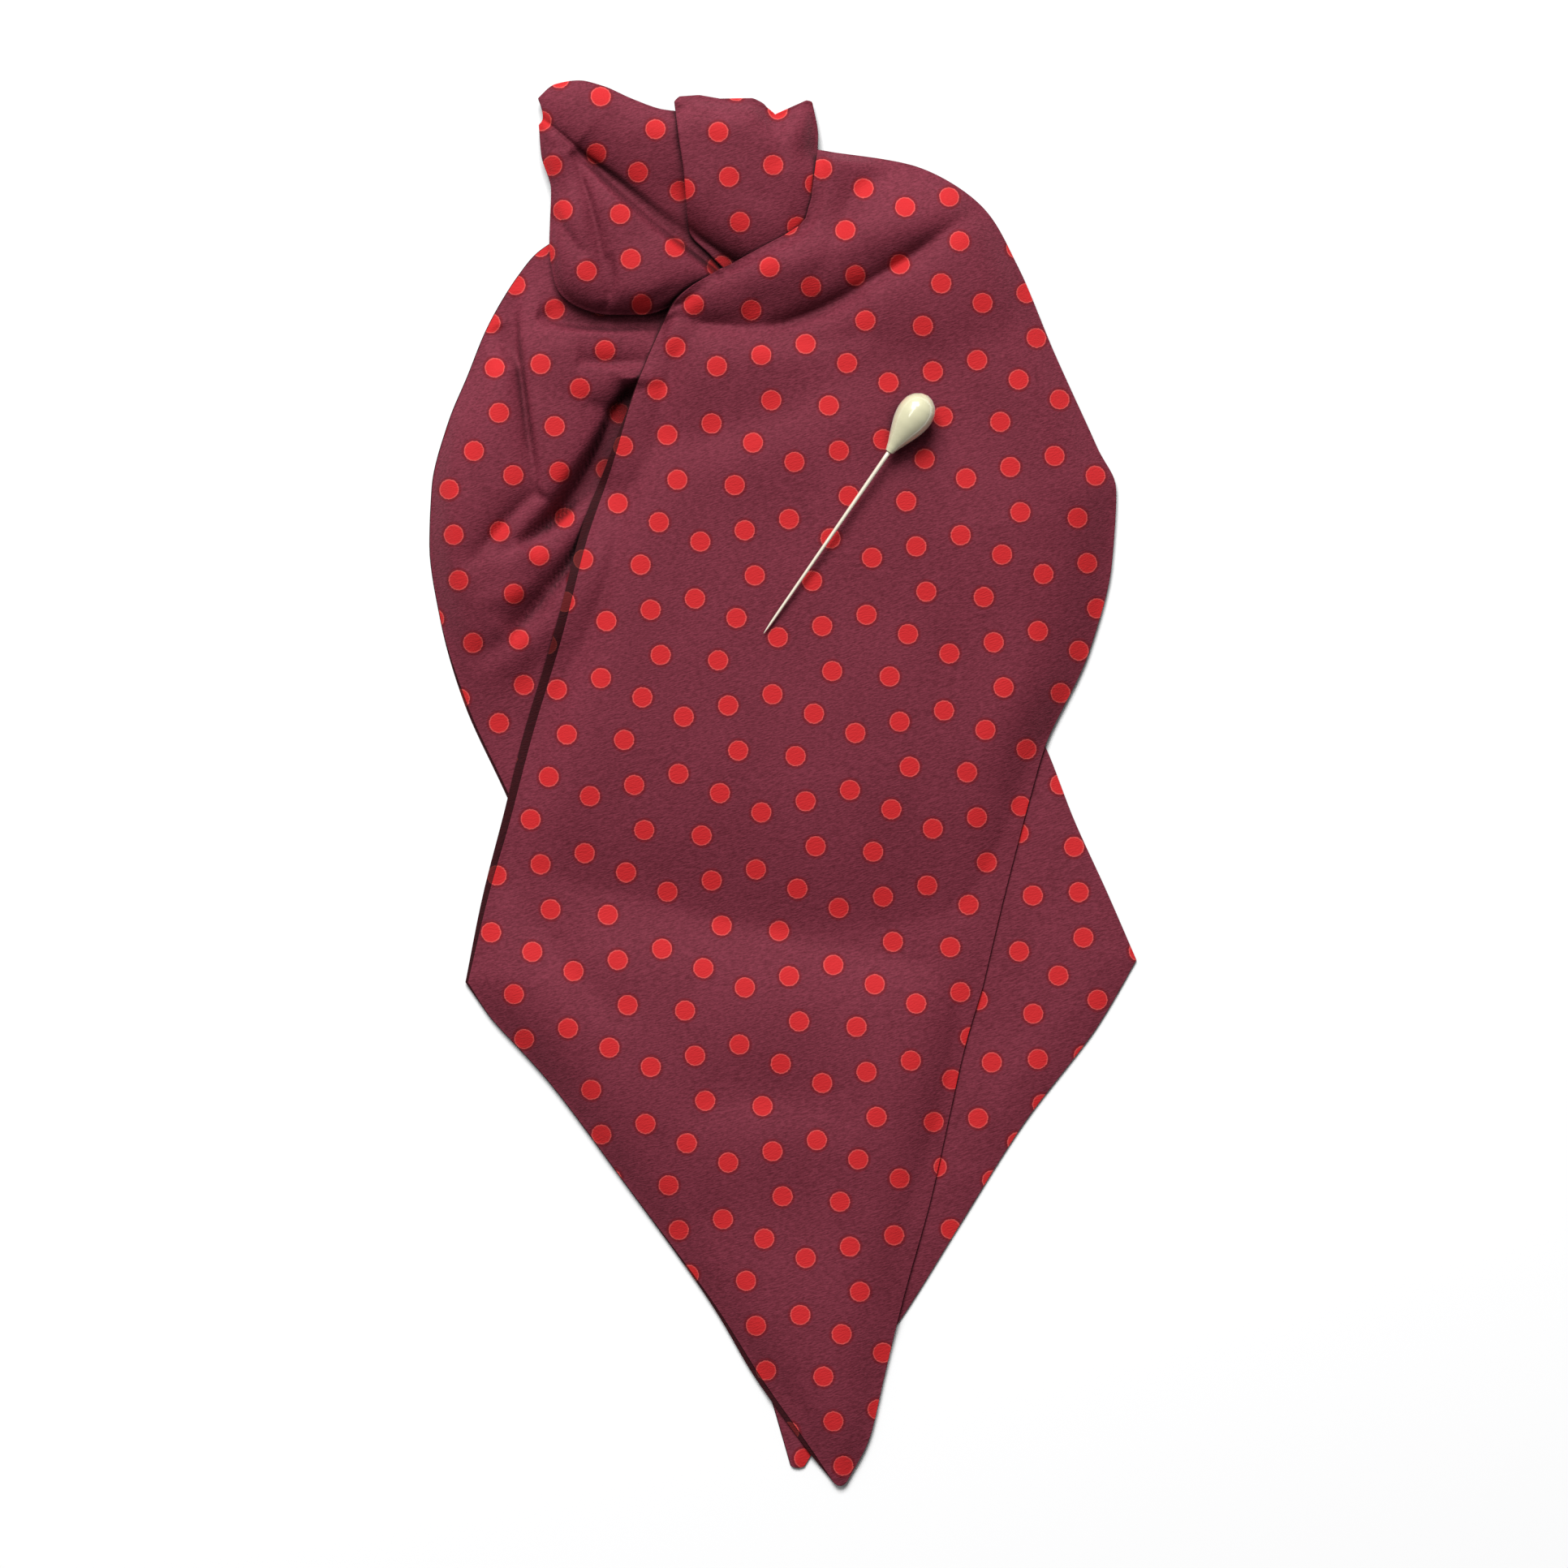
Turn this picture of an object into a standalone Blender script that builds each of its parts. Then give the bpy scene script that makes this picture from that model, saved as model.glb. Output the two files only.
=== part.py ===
"""A plastron laid out flat: two pointed blades crossed below a soft knot, and a pearl pin lying on the front one.

Lengths are in millimetres until a mesh is made. +X is the wearer's left as seen, +Y runs up to the knot, and +Z
rises from the surface that the cloth lies on. Each cloth piece is a wall over a grid of points: its plan comes from
a table of sections, and its height comes from what lies below it, its own rises, and its folds.
"""

import math

import bpy
import numpy as np

MM = 0.001

# The middle of the whole outline, which becomes the origin
PLAN_MIDDLE = (-0.346, 0.253)

# Walls and the gaps between them
FACE_WALL = 1.2
LINING_WALL = 1.0
WRAP_WALL = 1.5
SEAM_GAP = 0.3
DRAPE_GAP = 0.6
COVER_REACH = 3
BAGGED_WALL = LINING_WALL + SEAM_GAP + FACE_WALL
STEEPEST = 2.2
LEAST_REVEAL = 0.2

# Heights above the surface
NECKBAND_LAYERS = 3
NECKBAND_LAYER = 1.1
NECKBAND_TOP = 5.4
NECKBAND_SHOULDER = 5.0
TURNED_EDGE = 0.3
KNOT_TOP = 8.6
KNOT_SLOPE = 14.0
RISE_EDGE = 8.0
FOLD_BELL = 0.77

# The square lattice that the heights are worked out on
LATTICE_STEP = 1.0
LATTICE_HALF_WIDTH = 95.0
LATTICE_HALF_LENGTH = 172.0

# Steps across a section, and the share of them in its left half. Steps down to the next row are in the tables.
ACROSS = {"front_blade": (17, 0.5), "under_blade": (18, 0.75), "left_wrap": (16, 0.5), "centre_wrap": (12, 0.5)}

SECTION = ("left_x", "left_y", "middle_x", "middle_y", "right_x", "right_y", "corner", "reveal", "steps")
FOLD = ("start_x", "start_y", "middle_x", "middle_y", "end_x", "end_y", "width", "height")
RISE = ("x", "y", "across", "along", "height")
EDGE = ("x", "y")
SPAN = ("x", "lower_y", "upper_y")
PROFILE = ("along", "radius")

# The front blade, from the roll at the knot down to its point. The reveal is how far the lining peeps out.
FRONT_SECTIONS = [
    (-20.5, 111.5, 2.0, 124.0, 7.5, 142.0, 0, 0.0, 3),
    (-22.5, 110.0, 3.5, 118.5, 17.5, 140.0, 0, 0.0, 5),
    (-24.5, 108.0, 3.5, 106.0, 44.5, 129.5, 0, 0.0, 4),
    (-26.5, 104.5, 8.0, 95.5, 52.5, 116.0, 0, 0.0, 4),
    (-29.5, 98.0, 11.5, 81.0, 60.5, 97.0, 0, 0.0, 3),
    (-34.0, 86.5, 15.0, 66.5, 70.0, 76.0, 0, 0.0, 3),
    (-38.5, 71.5, 13.5, 52.0, 74.5, 65.5, 0, 1.2, 4),
    (-44.0, 55.5, 9.5, 37.5, 73.5, 49.5, 0, 1.8, 3),
    (-49.5, 34.0, 3.5, 19.5, 68.5, 30.0, 0, 1.8, 2),
    (-56.5, 11.0, -0.5, 1.0, 58.5, 8.5, 0, 1.8, 2),
    (-61.5, -8.0, -4.0, -11.5, 55.0, -3.5, 0, 1.6, 2),
    (-66.5, -25.5, -8.5, -28.0, 49.0, -26.5, 0, 1.1, 2),
    (-71.0, -44.5, -13.0, -46.0, 44.5, -45.5, 1, 0.4, 1),
    (-66.5, -51.5, -12.0, -59.0, 40.5, -59.0, 0, 0.0, 2),
    (-53.0, -66.5, -6.5, -73.5, 37.0, -74.5, 0, 0.0, 2),
    (-35.0, -90.5, 0.5, -93.5, 33.0, -92.5, 0, 0.0, 2),
    (-15.5, -117.0, 7.0, -117.0, 26.5, -116.0, 0, 0.5, 2),
    (-5.0, -133.5, 10.0, -133.5, 22.5, -132.5, 0, 1.2, 4),
    (4.5, -147.0, 12.0, -147.0, 19.0, -147.0, 0, 1.0, 3),
    (11.0, -156.5, 12.5, -157.5, 14.0, -156.5, 0, 0.3, 0),
]
FRONT_HEAD = [
    (-20.5, 111.5), (-16.0, 114.2), (-8.0, 118.5), (0.3, 122.9), (3.4, 124.9), (4.8, 126.5), (6.1, 131.1), (7.5, 142.0),
]
FRONT_RISES = [
    (29.0, 117.0, 26.0, 22.0, 9.5),
    (-1.0, 92.0, 34.0, 30.0, 8.0),
    (42.0, 74.0, 34.0, 44.0, 7.0),
    (8.0, 32.0, 52.0, 44.0, 5.5),
    (-10.0, -40.0, 54.0, 60.0, 4.6),
    (8.0, -105.0, 26.0, 50.0, 4.2),
]
FRONT_FOLDS = [
    (-21.0, 109.5, 10.0, 118.5, 42.0, 128.0, 4.2, 3.6),
    (-20.0, 103.0, 8.0, 103.0, 42.0, 126.0, 3.6, -4.2),
    (-8.5, 98.5, 6.0, 97.5, 18.0, 104.0, 3.4, -0.8),
    (-31.0, 79.5, -14.0, 77.5, 17.0, 94.0, 6.0, -1.2),
    (-34.0, -6.0, 6.0, -13.5, 45.0, -37.5, 8.0, -1.5),
    (-56.5, -22.5, -50.5, -39.0, -35.5, -51.5, 5.0, -0.9),
    (-19.5, -73.5, -3.0, -70.0, 13.5, -75.5, 6.0, -0.7),
]

# The blade below it, which shows as the gathered bulge at the left and as the lower right corner
UNDER_SECTIONS = [
    (-50.5, 122.5, -35.5, 115.5, -18.0, 113.0, 1, 0.0, 1),
    (-55.5, 119.0, -34.0, 109.5, -6.5, 105.5, 0, 0.0, 2),
    (-60.0, 113.5, -32.0, 99.5, 4.5, 95.5, 0, 0.0, 3),
    (-66.5, 102.5, -30.5, 86.5, 17.0, 81.0, 0, 0.0, 3),
    (-71.0, 91.5, -29.5, 75.5, 26.0, 66.5, 0, 0.0, 3),
    (-75.5, 80.5, -27.5, 63.0, 34.5, 52.0, 0, 0.0, 3),
    (-79.0, 66.5, -25.5, 50.0, 42.5, 37.5, 0, 0.0, 3),
    (-79.5, 53.5, -24.0, 37.5, 49.0, 26.0, 0, 0.0, 3),
    (-77.0, 36.5, -19.5, 23.0, 53.5, 17.0, 0, 0.0, 3),
    (-71.0, 17.5, -12.0, 8.5, 58.5, 8.5, 0, 0.5, 2),
    (-62.0, -2.0, -1.0, -8.0, 65.0, -8.0, 0, 0.5, 2),
    (-52.0, -24.5, 9.5, -24.5, 72.5, -24.5, 0, 0.0, 1),
    (-45.5, -39.5, 17.0, -39.0, 79.0, -39.5, 1, 0.0, 1),
    (-39.0, -54.5, 19.0, -54.0, 70.5, -54.0, 0, 0.0, 1),
    (-29.0, -76.5, 14.5, -76.0, 53.5, -76.5, 0, 0.0, 1),
    (-19.5, -99.5, 10.5, -99.5, 39.0, -99.5, 0, 0.0, 1),
    (-11.0, -118.0, 8.0, -119.0, 27.5, -118.0, 0, 0.0, 1),
    (-3.5, -136.0, 6.0, -136.0, 15.0, -136.0, 0, 0.0, 1),
    (-0.5, -146.0, 4.0, -147.0, 8.5, -146.5, 0, 0.0, 1),
    (1.5, -153.0, 3.0, -153.5, 4.5, -153.0, 0, 0.0, 0),
]
UNDER_RISES = [
    (-60.0, 70.0, 20.0, 40.0, 6.0),
    (-42.0, 98.0, 18.0, 16.0, 3.4),
]
UNDER_FOLDS = [
    (-35.5, 88.5, -41.0, 66.5, -58.0, 53.0, 3.2, -3.8),
    (-39.5, 66.5, -45.0, 37.5, -70.5, 29.0, 3.2, -3.2),
    (-59.5, 113.0, -62.5, 90.0, -56.5, 65.5, 2.6, -2.4),
    (-55.0, 64.0, -59.5, 55.5, -66.0, 50.0, 2.6, -1.4),
    (-48.5, 103.0, -37.5, 101.5, -26.5, 103.0, 2.6, -1.6),
    (-42.0, 96.5, -35.5, 94.5, -30.5, 93.0, 2.2, -1.0),
]

# The left wrap: each section runs from its outer edge over the sharp crease, at the middle, to its inner edge.
LEFT_SECTIONS = [
    (-55.0, 148.0, -54.0, 150.0, -55.4, 154.2, 0, 0.0, 2),
    (-54.5, 141.0, -50.0, 146.5, -51.4, 157.3, 0, 0.0, 2),
    (-52.3, 133.0, -45.0, 142.5, -46.4, 158.0, 0, 0.0, 2),
    (-52.6, 125.5, -41.0, 138.5, -41.0, 156.7, 0, 0.0, 2),
    (-52.8, 120.5, -36.5, 134.5, -34.5, 153.8, 0, 0.0, 2),
    (-51.6, 112.0, -32.5, 130.5, -28.0, 151.4, 0, 0.0, 2),
    (-48.4, 108.0, -29.0, 127.5, -21.0, 150.2, 0, 0.0, 3),
    (-40.1, 105.1, -25.0, 124.0, -18.5, 140.0, 0, 0.0, 3),
    (-32.1, 105.0, -21.0, 121.5, -16.5, 132.5, 0, 0.0, 3),
    (-24.5, 107.3, -17.0, 118.5, -15.0, 126.5, 0, 0.0, 2),
    (-18.0, 109.5, -13.5, 115.0, -12.5, 121.0, 0, 0.0, 2),
    (-12.5, 109.5, -10.0, 112.5, -9.0, 116.5, 0, 0.0, 0),
]
LEFT_ROWS_SHOWN = 6
LEFT_RISES = [
    (-39.0, 119.0, 22.0, 18.0, 8.2),
    (-37.0, 144.0, 22.0, 16.0, 6.8),
]
LEFT_FOLDS = [
    (-54.0, 149.0, -34.0, 132.5, -10.0, 115.0, 2.2, -3.4),
    (-46.5, 142.0, -40.5, 128.0, -41.0, 108.0, 2.2, -1.3),
    (-50.5, 130.0, -45.5, 123.0, -43.5, 114.5, 1.8, -0.9),
]

# The centre wrap, from its stepped upper edge down to the roll that covers its lower end
CENTRE_SECTIONS = [
    (-24.1, 152.5, -9.5, 153.9, 5.9, 152.9, 0, 0.0, 3),
    (-23.5, 144.5, -8.0, 145.5, 7.5, 145.0, 0, 0.0, 3),
    (-22.5, 136.5, -7.5, 137.0, 7.2, 137.0, 0, 0.0, 3),
    (-22.0, 129.5, -7.5, 130.0, 6.2, 130.0, 0, 0.0, 3),
    (-21.5, 124.0, -8.0, 124.0, 4.5, 124.0, 0, 0.0, 3),
    (-17.0, 119.0, -7.0, 118.5, 3.0, 118.5, 0, 0.0, 3),
    (-12.0, 114.0, -5.0, 113.5, 2.0, 114.0, 0, 0.0, 0),
]
CENTRE_TURNED_ABOVE = 142.0
CENTRE_HEAD = [
    (-24.3, 152.8), (-23.5, 153.8), (-19.2, 154.2), (-14.5, 153.3), (-7.0, 153.4), (-4.8, 152.2), (-4.5, 151.6),
    (-2.1, 149.5), (5.1, 153.0), (5.9, 152.7),
]
CENTRE_RISES = [
    (-8.0, 138.0, 24.0, 24.0, 7.6),
]
CENTRE_FOLDS = [
    (-2.1, 150.0, -1.0, 144.0, -1.5, 137.0, 2.0, -1.0),
    (-22.0, 128.0, -18.0, 122.0, -10.0, 118.0, 4.5, -1.6),
]

# The neckband's hidden length, folded under the wraps: its lower and upper edge at places along it
NECKBAND_SPANS = [
    (-50.0, 138.0, 148.0),
    (-47.0, 136.0, 151.0),
    (-37.5, 130.5, 151.5),
    (-24.0, 121.0, 147.0),
    (-12.0, 112.5, 147.5),
    (2.0, 112.5, 147.0),
    (14.0, 115.0, 135.5),
    (29.0, 116.5, 133.5),
    (38.0, 118.0, 129.0),
    (42.0, 120.5, 125.0),
]

# The pin: where its point and its head lie on the front blade, and the head's outline from the shaft to the crown
PIN_POINT = (-4.8, 33.4)
PIN_NECK = (23.4, 74.2)
PIN_SHAFT_DIAMETER = 1.0
PIN_SHARP_LENGTH = 5.0
PIN_HEAD_LENGTH = 15.2
PIN_HEAD_DIAMETER = 8.3
PIN_SIDES = 20
PIN_HEAD_PROFILE = [
    (0.0, 0.22), (0.06, 0.30), (0.2, 0.50), (0.36, 0.74), (0.52, 0.93), (0.66, 1.0), (0.8, 0.93), (0.91, 0.70),
    (0.98, 0.34),
]


def clear_scene():
    for obj in list(bpy.data.objects):
        bpy.data.objects.remove(obj, do_unlink=True)


def table(columns, rows):
    """The rows as one array for each named column."""
    return dict(zip(columns, np.array(rows, dtype=float).T))


def smooth_rows(values, corner, at):
    """Cubic through the rows. A row's slope is the harmonic mean of the steps beside it, or each step at a corner."""
    step = np.diff(values)
    before = np.concatenate([step[:1], step])
    after = np.concatenate([step, step[-1:]])
    same_way = before * after > 0
    mean = np.where(same_way, 2 * before * after / np.where(same_way, before + after, 1), 0)
    leaving = np.where(corner > 0, after, mean)
    arriving = np.where(corner > 0, before, mean)
    row = np.clip(at.astype(int), 0, len(values) - 2)
    t = at - row
    return (
        values[row] * (2 * t**3 - 3 * t**2 + 1)
        + leaving[row] * (t**3 - 2 * t**2 + t)
        + values[row + 1] * (3 * t**2 - 2 * t**3)
        + arriving[row + 1] * (t**3 - t**2)
    )


def through_three(first, middle, last, u):
    """The parabola that is at the first point at u = 0, the middle one at 0.5 and the last at 1."""
    return first * (2 * u**2 - 3 * u + 1) + middle * (4 * u - 4 * u**2) + last * (2 * u**2 - u)


def plan_grid(sections, across, head=None, reveal=False):
    """x and y of the piece's points: rows of the table, smoothed, each a parabola across. The head's own outline is
    laid over the first row and fades out over the next two."""
    last = len(sections["corner"]) - 1
    steps = [np.linspace(row, row + 1, int(sections["steps"][row]), endpoint=False) for row in range(last)]
    along = np.concatenate([*steps, [last]])
    even = np.interp(np.linspace(0, 1, across[0] + 1), (0, across[1], 1), (0, 0.5, 1))
    across = 0.6 * even + 0.2 * (1 - np.cos(math.pi * even))
    places = []
    for axis in "xy":
        ends = [
            smooth_rows(sections[f"{where}_{axis}"], sections["corner"], along)[:, None]
            for where in ("left", "middle", "right")
        ]
        places.append(through_three(*ends, across[None, :]))
    x, y = places
    if head is not None:
        run = np.concatenate([[0], np.cumsum(np.hypot(np.diff(head["x"]), np.diff(head["y"])))])
        span = np.concatenate([[0], np.cumsum(np.hypot(np.diff(x[0]), np.diff(y[0])))])
        share = span / span[-1] * run[-1]
        fade = np.clip(1 - along / 2, 0, 1)[:, None] ** 2
        x = x + fade * (np.interp(share, run, head["x"]) - x[0])
        y = y + fade * (np.interp(share, run, head["y"]) - y[0])
    if reveal:
        out = LEAST_REVEAL + smooth_rows(sections["reveal"], sections["corner"], along)
        away = np.hypot(x[:, 0] - x[:, 1], y[:, 0] - y[:, 1])
        x = np.column_stack([x[:, 0] + out * (x[:, 0] - x[:, 1]) / away, x])
        y = np.column_stack([y[:, 0] + out * (y[:, 0] - y[:, 1]) / away, y])
    return x, y


def outline_of(x, y):
    """The closed outline of a grid of points, once round."""
    ring_x = np.concatenate([x[:-1, 0], x[-1, :-1], x[:0:-1, -1], x[0, :0:-1]])
    ring_y = np.concatenate([y[:-1, 0], y[-1, :-1], y[:0:-1, -1], y[0, :0:-1]])
    return ring_x, ring_y


def nearest_on(x, y, path_x, path_y):
    """Distance to an open path of straight steps, and the share of its steps passed at the nearest point."""
    ax, ay = path_x[:-1], path_y[:-1]
    dx, dy = np.diff(path_x), np.diff(path_y)
    px, py = x[..., None] - ax, y[..., None] - ay
    t = np.clip((px * dx + py * dy) / np.maximum(dx * dx + dy * dy, 1e-12), 0, 1)
    apart = np.hypot(px - t * dx, py - t * dy)
    step = apart.argmin(axis=-1)[..., None]
    passed = (step + np.take_along_axis(t, step, axis=-1))[..., 0] / len(dx)
    return np.take_along_axis(apart, step, axis=-1)[..., 0], passed


def inside(x, y, outline):
    """Distance to a closed outline, positive inside it: a point is inside where a level line crosses it an odd
    number of times to the point's right."""
    ring_x, ring_y = (np.append(ring, ring[0]) for ring in outline)
    ax, ay, bx, by = ring_x[:-1], ring_y[:-1], ring_x[1:], ring_y[1:]
    spans = (ay > y[..., None]) != (by > y[..., None])
    rise = np.where(np.abs(by - ay) < 1e-12, 1e-12, by - ay)
    crossing = ax + (y[..., None] - ay) * (bx - ax) / rise
    odd = (spans & (crossing > x[..., None])).sum(axis=-1) % 2 == 1
    return np.where(odd, 1, -1) * nearest_on(x, y, ring_x, ring_y)[0]


def smooth_step(low, high, value):
    t = np.clip((value - low) / (high - low), 0, 1)
    return t * t * (3 - 2 * t)


def rounded(distance, width):
    """0 at an edge and 1 a width inside it, along a parabola."""
    return 1 - (1 - np.clip(distance / width, 0, 1)) ** 2


def higher(a, b, softness=0.5):
    """The greater of two heights, with the corner between them rounded upwards."""
    return 0.5 * (a + b + np.sqrt((a - b) ** 2 + softness**2))


def rises(x, y, rows):
    """The greatest of the soft mounds: height times a bell of the distance, over its own two half-widths."""
    mounds = table(RISE, rows)
    reach = np.hypot(
        (x[..., None] - mounds["x"]) / mounds["across"], (y[..., None] - mounds["y"]) / mounds["along"]
    )
    bells = mounds["height"] * np.exp(-0.5 * reach**4)
    return (bells**6).sum(axis=-1) ** (1 / 6)


def folds(x, y, rows):
    """Ridges and troughs: a bell across each curved path, which fades at both of its ends."""
    total = np.zeros_like(x)
    u = np.linspace(0, 1, 17)
    for row in rows:
        fold = dict(zip(FOLD, row))
        path_x = through_three(fold["start_x"], fold["middle_x"], fold["end_x"], u)
        path_y = through_three(fold["start_y"], fold["middle_y"], fold["end_y"], u)
        near, passed = nearest_on(x, y, path_x, path_y)
        fade = np.sin(math.pi * np.clip(passed, 0.04, 0.96)) ** 0.5
        total += fold["height"] * fade * np.exp(-0.5 * (near / (FOLD_BELL * fold["width"])) ** 2)
    return total


def spread(field):
    """The greatest height within a short reach all round, so that a drape's flat facets clear what lies below."""
    steps = range(-COVER_REACH, COVER_REACH + 1)
    near = [(i, j) for i in steps for j in steps if i * i + j * j <= COVER_REACH**2 + 1]
    return np.max([np.roll(field, shift, axis=(0, 1)) for shift in near], axis=0)


def over(top, distance):
    """The lowest a drape may lie over a piece: its top and a gap, let down to the surface just outside its edge."""
    return (spread(top) + DRAPE_GAP) * smooth_step(-5.0, -1.0, distance)


def upright(field):
    """How much longer an upright cut through a wall is than the wall is thick."""
    slope_y, slope_x = np.gradient(field, LATTICE_STEP)
    return np.minimum(np.sqrt(1 + slope_x**2 + slope_y**2), STEEPEST)


def at(field, x, y):
    """A lattice's field at any place, mixed from the four points round it."""
    column = (x - LATTICE_X[0, 0]) / LATTICE_STEP
    row = (y - LATTICE_Y[0, 0]) / LATTICE_STEP
    i, j = row.astype(int), column.astype(int)
    v, u = row - i, column - j
    lower = field[i, j] * (1 - u) + field[i, j + 1] * u
    upper = field[i + 1, j] * (1 - u) + field[i + 1, j + 1] * u
    return lower * (1 - v) + upper * v


UNDER = table(SECTION, UNDER_SECTIONS)
FRONT = table(SECTION, FRONT_SECTIONS)
LEFT = table(SECTION, LEFT_SECTIONS)
CENTRE = table(SECTION, CENTRE_SECTIONS)
NECKBAND = table(SPAN, NECKBAND_SPANS)
FRONT_EDGE = table(EDGE, FRONT_HEAD)
CENTRE_EDGE = table(EDGE, CENTRE_HEAD)

LATTICE_X, LATTICE_Y = np.meshgrid(
    np.arange(-LATTICE_HALF_WIDTH, LATTICE_HALF_WIDTH + LATTICE_STEP, LATTICE_STEP),
    np.arange(-LATTICE_HALF_LENGTH, LATTICE_HALF_LENGTH + LATTICE_STEP, LATTICE_STEP),
)
UNDER_INSIDE = inside(LATTICE_X, LATTICE_Y, outline_of(*plan_grid(UNDER, (8, 0.5))))
FRONT_INSIDE = inside(LATTICE_X, LATTICE_Y, outline_of(*plan_grid(FRONT, (12, 0.5), FRONT_EDGE)))
LEFT_INSIDE = inside(LATTICE_X, LATTICE_Y, outline_of(*plan_grid(LEFT, (8, 0.5))))
CENTRE_INSIDE = inside(LATTICE_X, LATTICE_Y, outline_of(*plan_grid(CENTRE, (12, 0.5), CENTRE_EDGE)))
NECKBAND_OUTLINE = (
    np.concatenate([NECKBAND["x"], NECKBAND["x"][::-1]]),
    np.concatenate([NECKBAND["lower_y"], NECKBAND["upper_y"][::-1]]),
)
NECKBAND_INSIDE = inside(LATTICE_X, LATTICE_Y, NECKBAND_OUTLINE)


def lift(rise_rows, fold_rows, edge, fold_edge):
    """A piece's own form: its mounds and folds, let down towards the edge."""
    mounds = rises(LATTICE_X, LATTICE_Y, rise_rows) * rounded(edge, RISE_EDGE)
    return mounds + folds(LATTICE_X, LATTICE_Y, fold_rows) * rounded(edge, fold_edge)


def neckband_top():
    """Full height a shoulder's width inside its edge."""
    side = NECKBAND_LAYERS * NECKBAND_LAYER
    return side + (NECKBAND_TOP - side) * rounded(NECKBAND_INSIDE, NECKBAND_SHOULDER)


def under_blade_bottom():
    """The gathers stand up at the left and die away where the front blade covers them."""
    gathers = lift(UNDER_RISES, UNDER_FOLDS, UNDER_INSIDE, 4.0) * (1 - smooth_step(2.0, 20.0, FRONT_INSIDE))
    return LINING_WALL + SEAM_GAP + higher(0, gathers - 0.3, 0.3)


def left_wrap_bottom(neckband, under):
    """It is let down along its outer edge and along its upper edge as far as the centre wrap."""
    x, y = plan_grid(LEFT, (2, 0.5))
    shown = int(LEFT["steps"][:LEFT_ROWS_SHOWN].sum())
    path = [np.concatenate([axis[::-1, 0], axis[:shown, -1]]) for axis in (x, y)]
    edge = nearest_on(LATTICE_X, LATTICE_Y, *path)[0]
    below = np.maximum(over(neckband, NECKBAND_INSIDE), over(under, UNDER_INSIDE))
    return higher(np.maximum(below, TURNED_EDGE), lift(LEFT_RISES, LEFT_FOLDS, edge, 3.0))


def centre_wrap_bottom(neckband, left):
    """It is let down along its upper edge and the upper end of its right edge."""
    x, y = plan_grid(CENTRE, (12, 0.5), CENTRE_EDGE)
    turned = y[:, -1] > CENTRE_TURNED_ABOVE
    path = [np.concatenate([axis[0], axis[turned, -1]]) for axis in (x, y)]
    edge = nearest_on(LATTICE_X, LATTICE_Y, *path)[0]
    below = np.maximum(over(neckband, NECKBAND_INSIDE), over(left, LEFT_INSIDE))
    return higher(np.maximum(below, TURNED_EDGE), lift(CENTRE_RISES, CENTRE_FOLDS, edge, 3.0))


def front_blade_bottom(neckband, under, left, centre):
    """Its head lies level over the knot, and the rest follows its own rises where nothing below is higher."""
    knot = np.maximum(LEFT_INSIDE, CENTRE_INSIDE)
    below = np.max([
        KNOT_TOP * smooth_step(-KNOT_SLOPE, -1.0, knot),
        over(neckband, NECKBAND_INSIDE),
        over(under, UNDER_INSIDE),
        over(left, LEFT_INSIDE),
        over(centre, CENTRE_INSIDE),
    ], axis=0)
    return higher(below, lift(FRONT_RISES, FRONT_FOLDS, FRONT_INSIDE, 5.0))


def new_object(name, points, triangles, material, sharp=50):
    mesh = bpy.data.meshes.new(name)
    placed = (np.asarray(points) - (*PLAN_MIDDLE, 0)) * MM
    mesh.from_pydata(placed.tolist(), [], np.asarray(triangles).tolist())
    mesh.materials.append(material)
    mesh.shade_smooth()
    mesh.set_sharp_from_angle(angle=math.radians(sharp))
    obj = bpy.data.objects.new(name, mesh)
    bpy.context.scene.collection.objects.link(obj)
    return obj


def cloth_wall(name, x, y, bottom, top, material):
    """A closed wall between two heights over one grid of points. Every layer is cut along the same diagonals."""
    rows, columns = x.shape
    index = np.arange(rows * columns).reshape(rows, columns)
    a, b = index[:-1, :-1].ravel(), index[1:, :-1].ravel()
    c, d = index[1:, 1:].ravel(), index[:-1, 1:].ravel()
    upper = np.concatenate([np.column_stack([a, b, c]), np.column_stack([a, c, d])])
    lower = upper[:, ::-1] + rows * columns
    rim = np.concatenate([index[:-1, 0], index[-1, :-1], index[:0:-1, -1], index[0, :0:-1]])
    following = np.roll(rim, -1)
    side = np.concatenate([
        np.column_stack([rim, rim + rows * columns, following + rows * columns]),
        np.column_stack([rim, following + rows * columns, following]),
    ])
    points = np.concatenate([
        np.column_stack([x.ravel(), y.ravel(), top.ravel()]),
        np.column_stack([x.ravel(), y.ravel(), bottom.ravel()]),
    ])
    return new_object(name, points, np.concatenate([upper, lower, side]), material)


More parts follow.
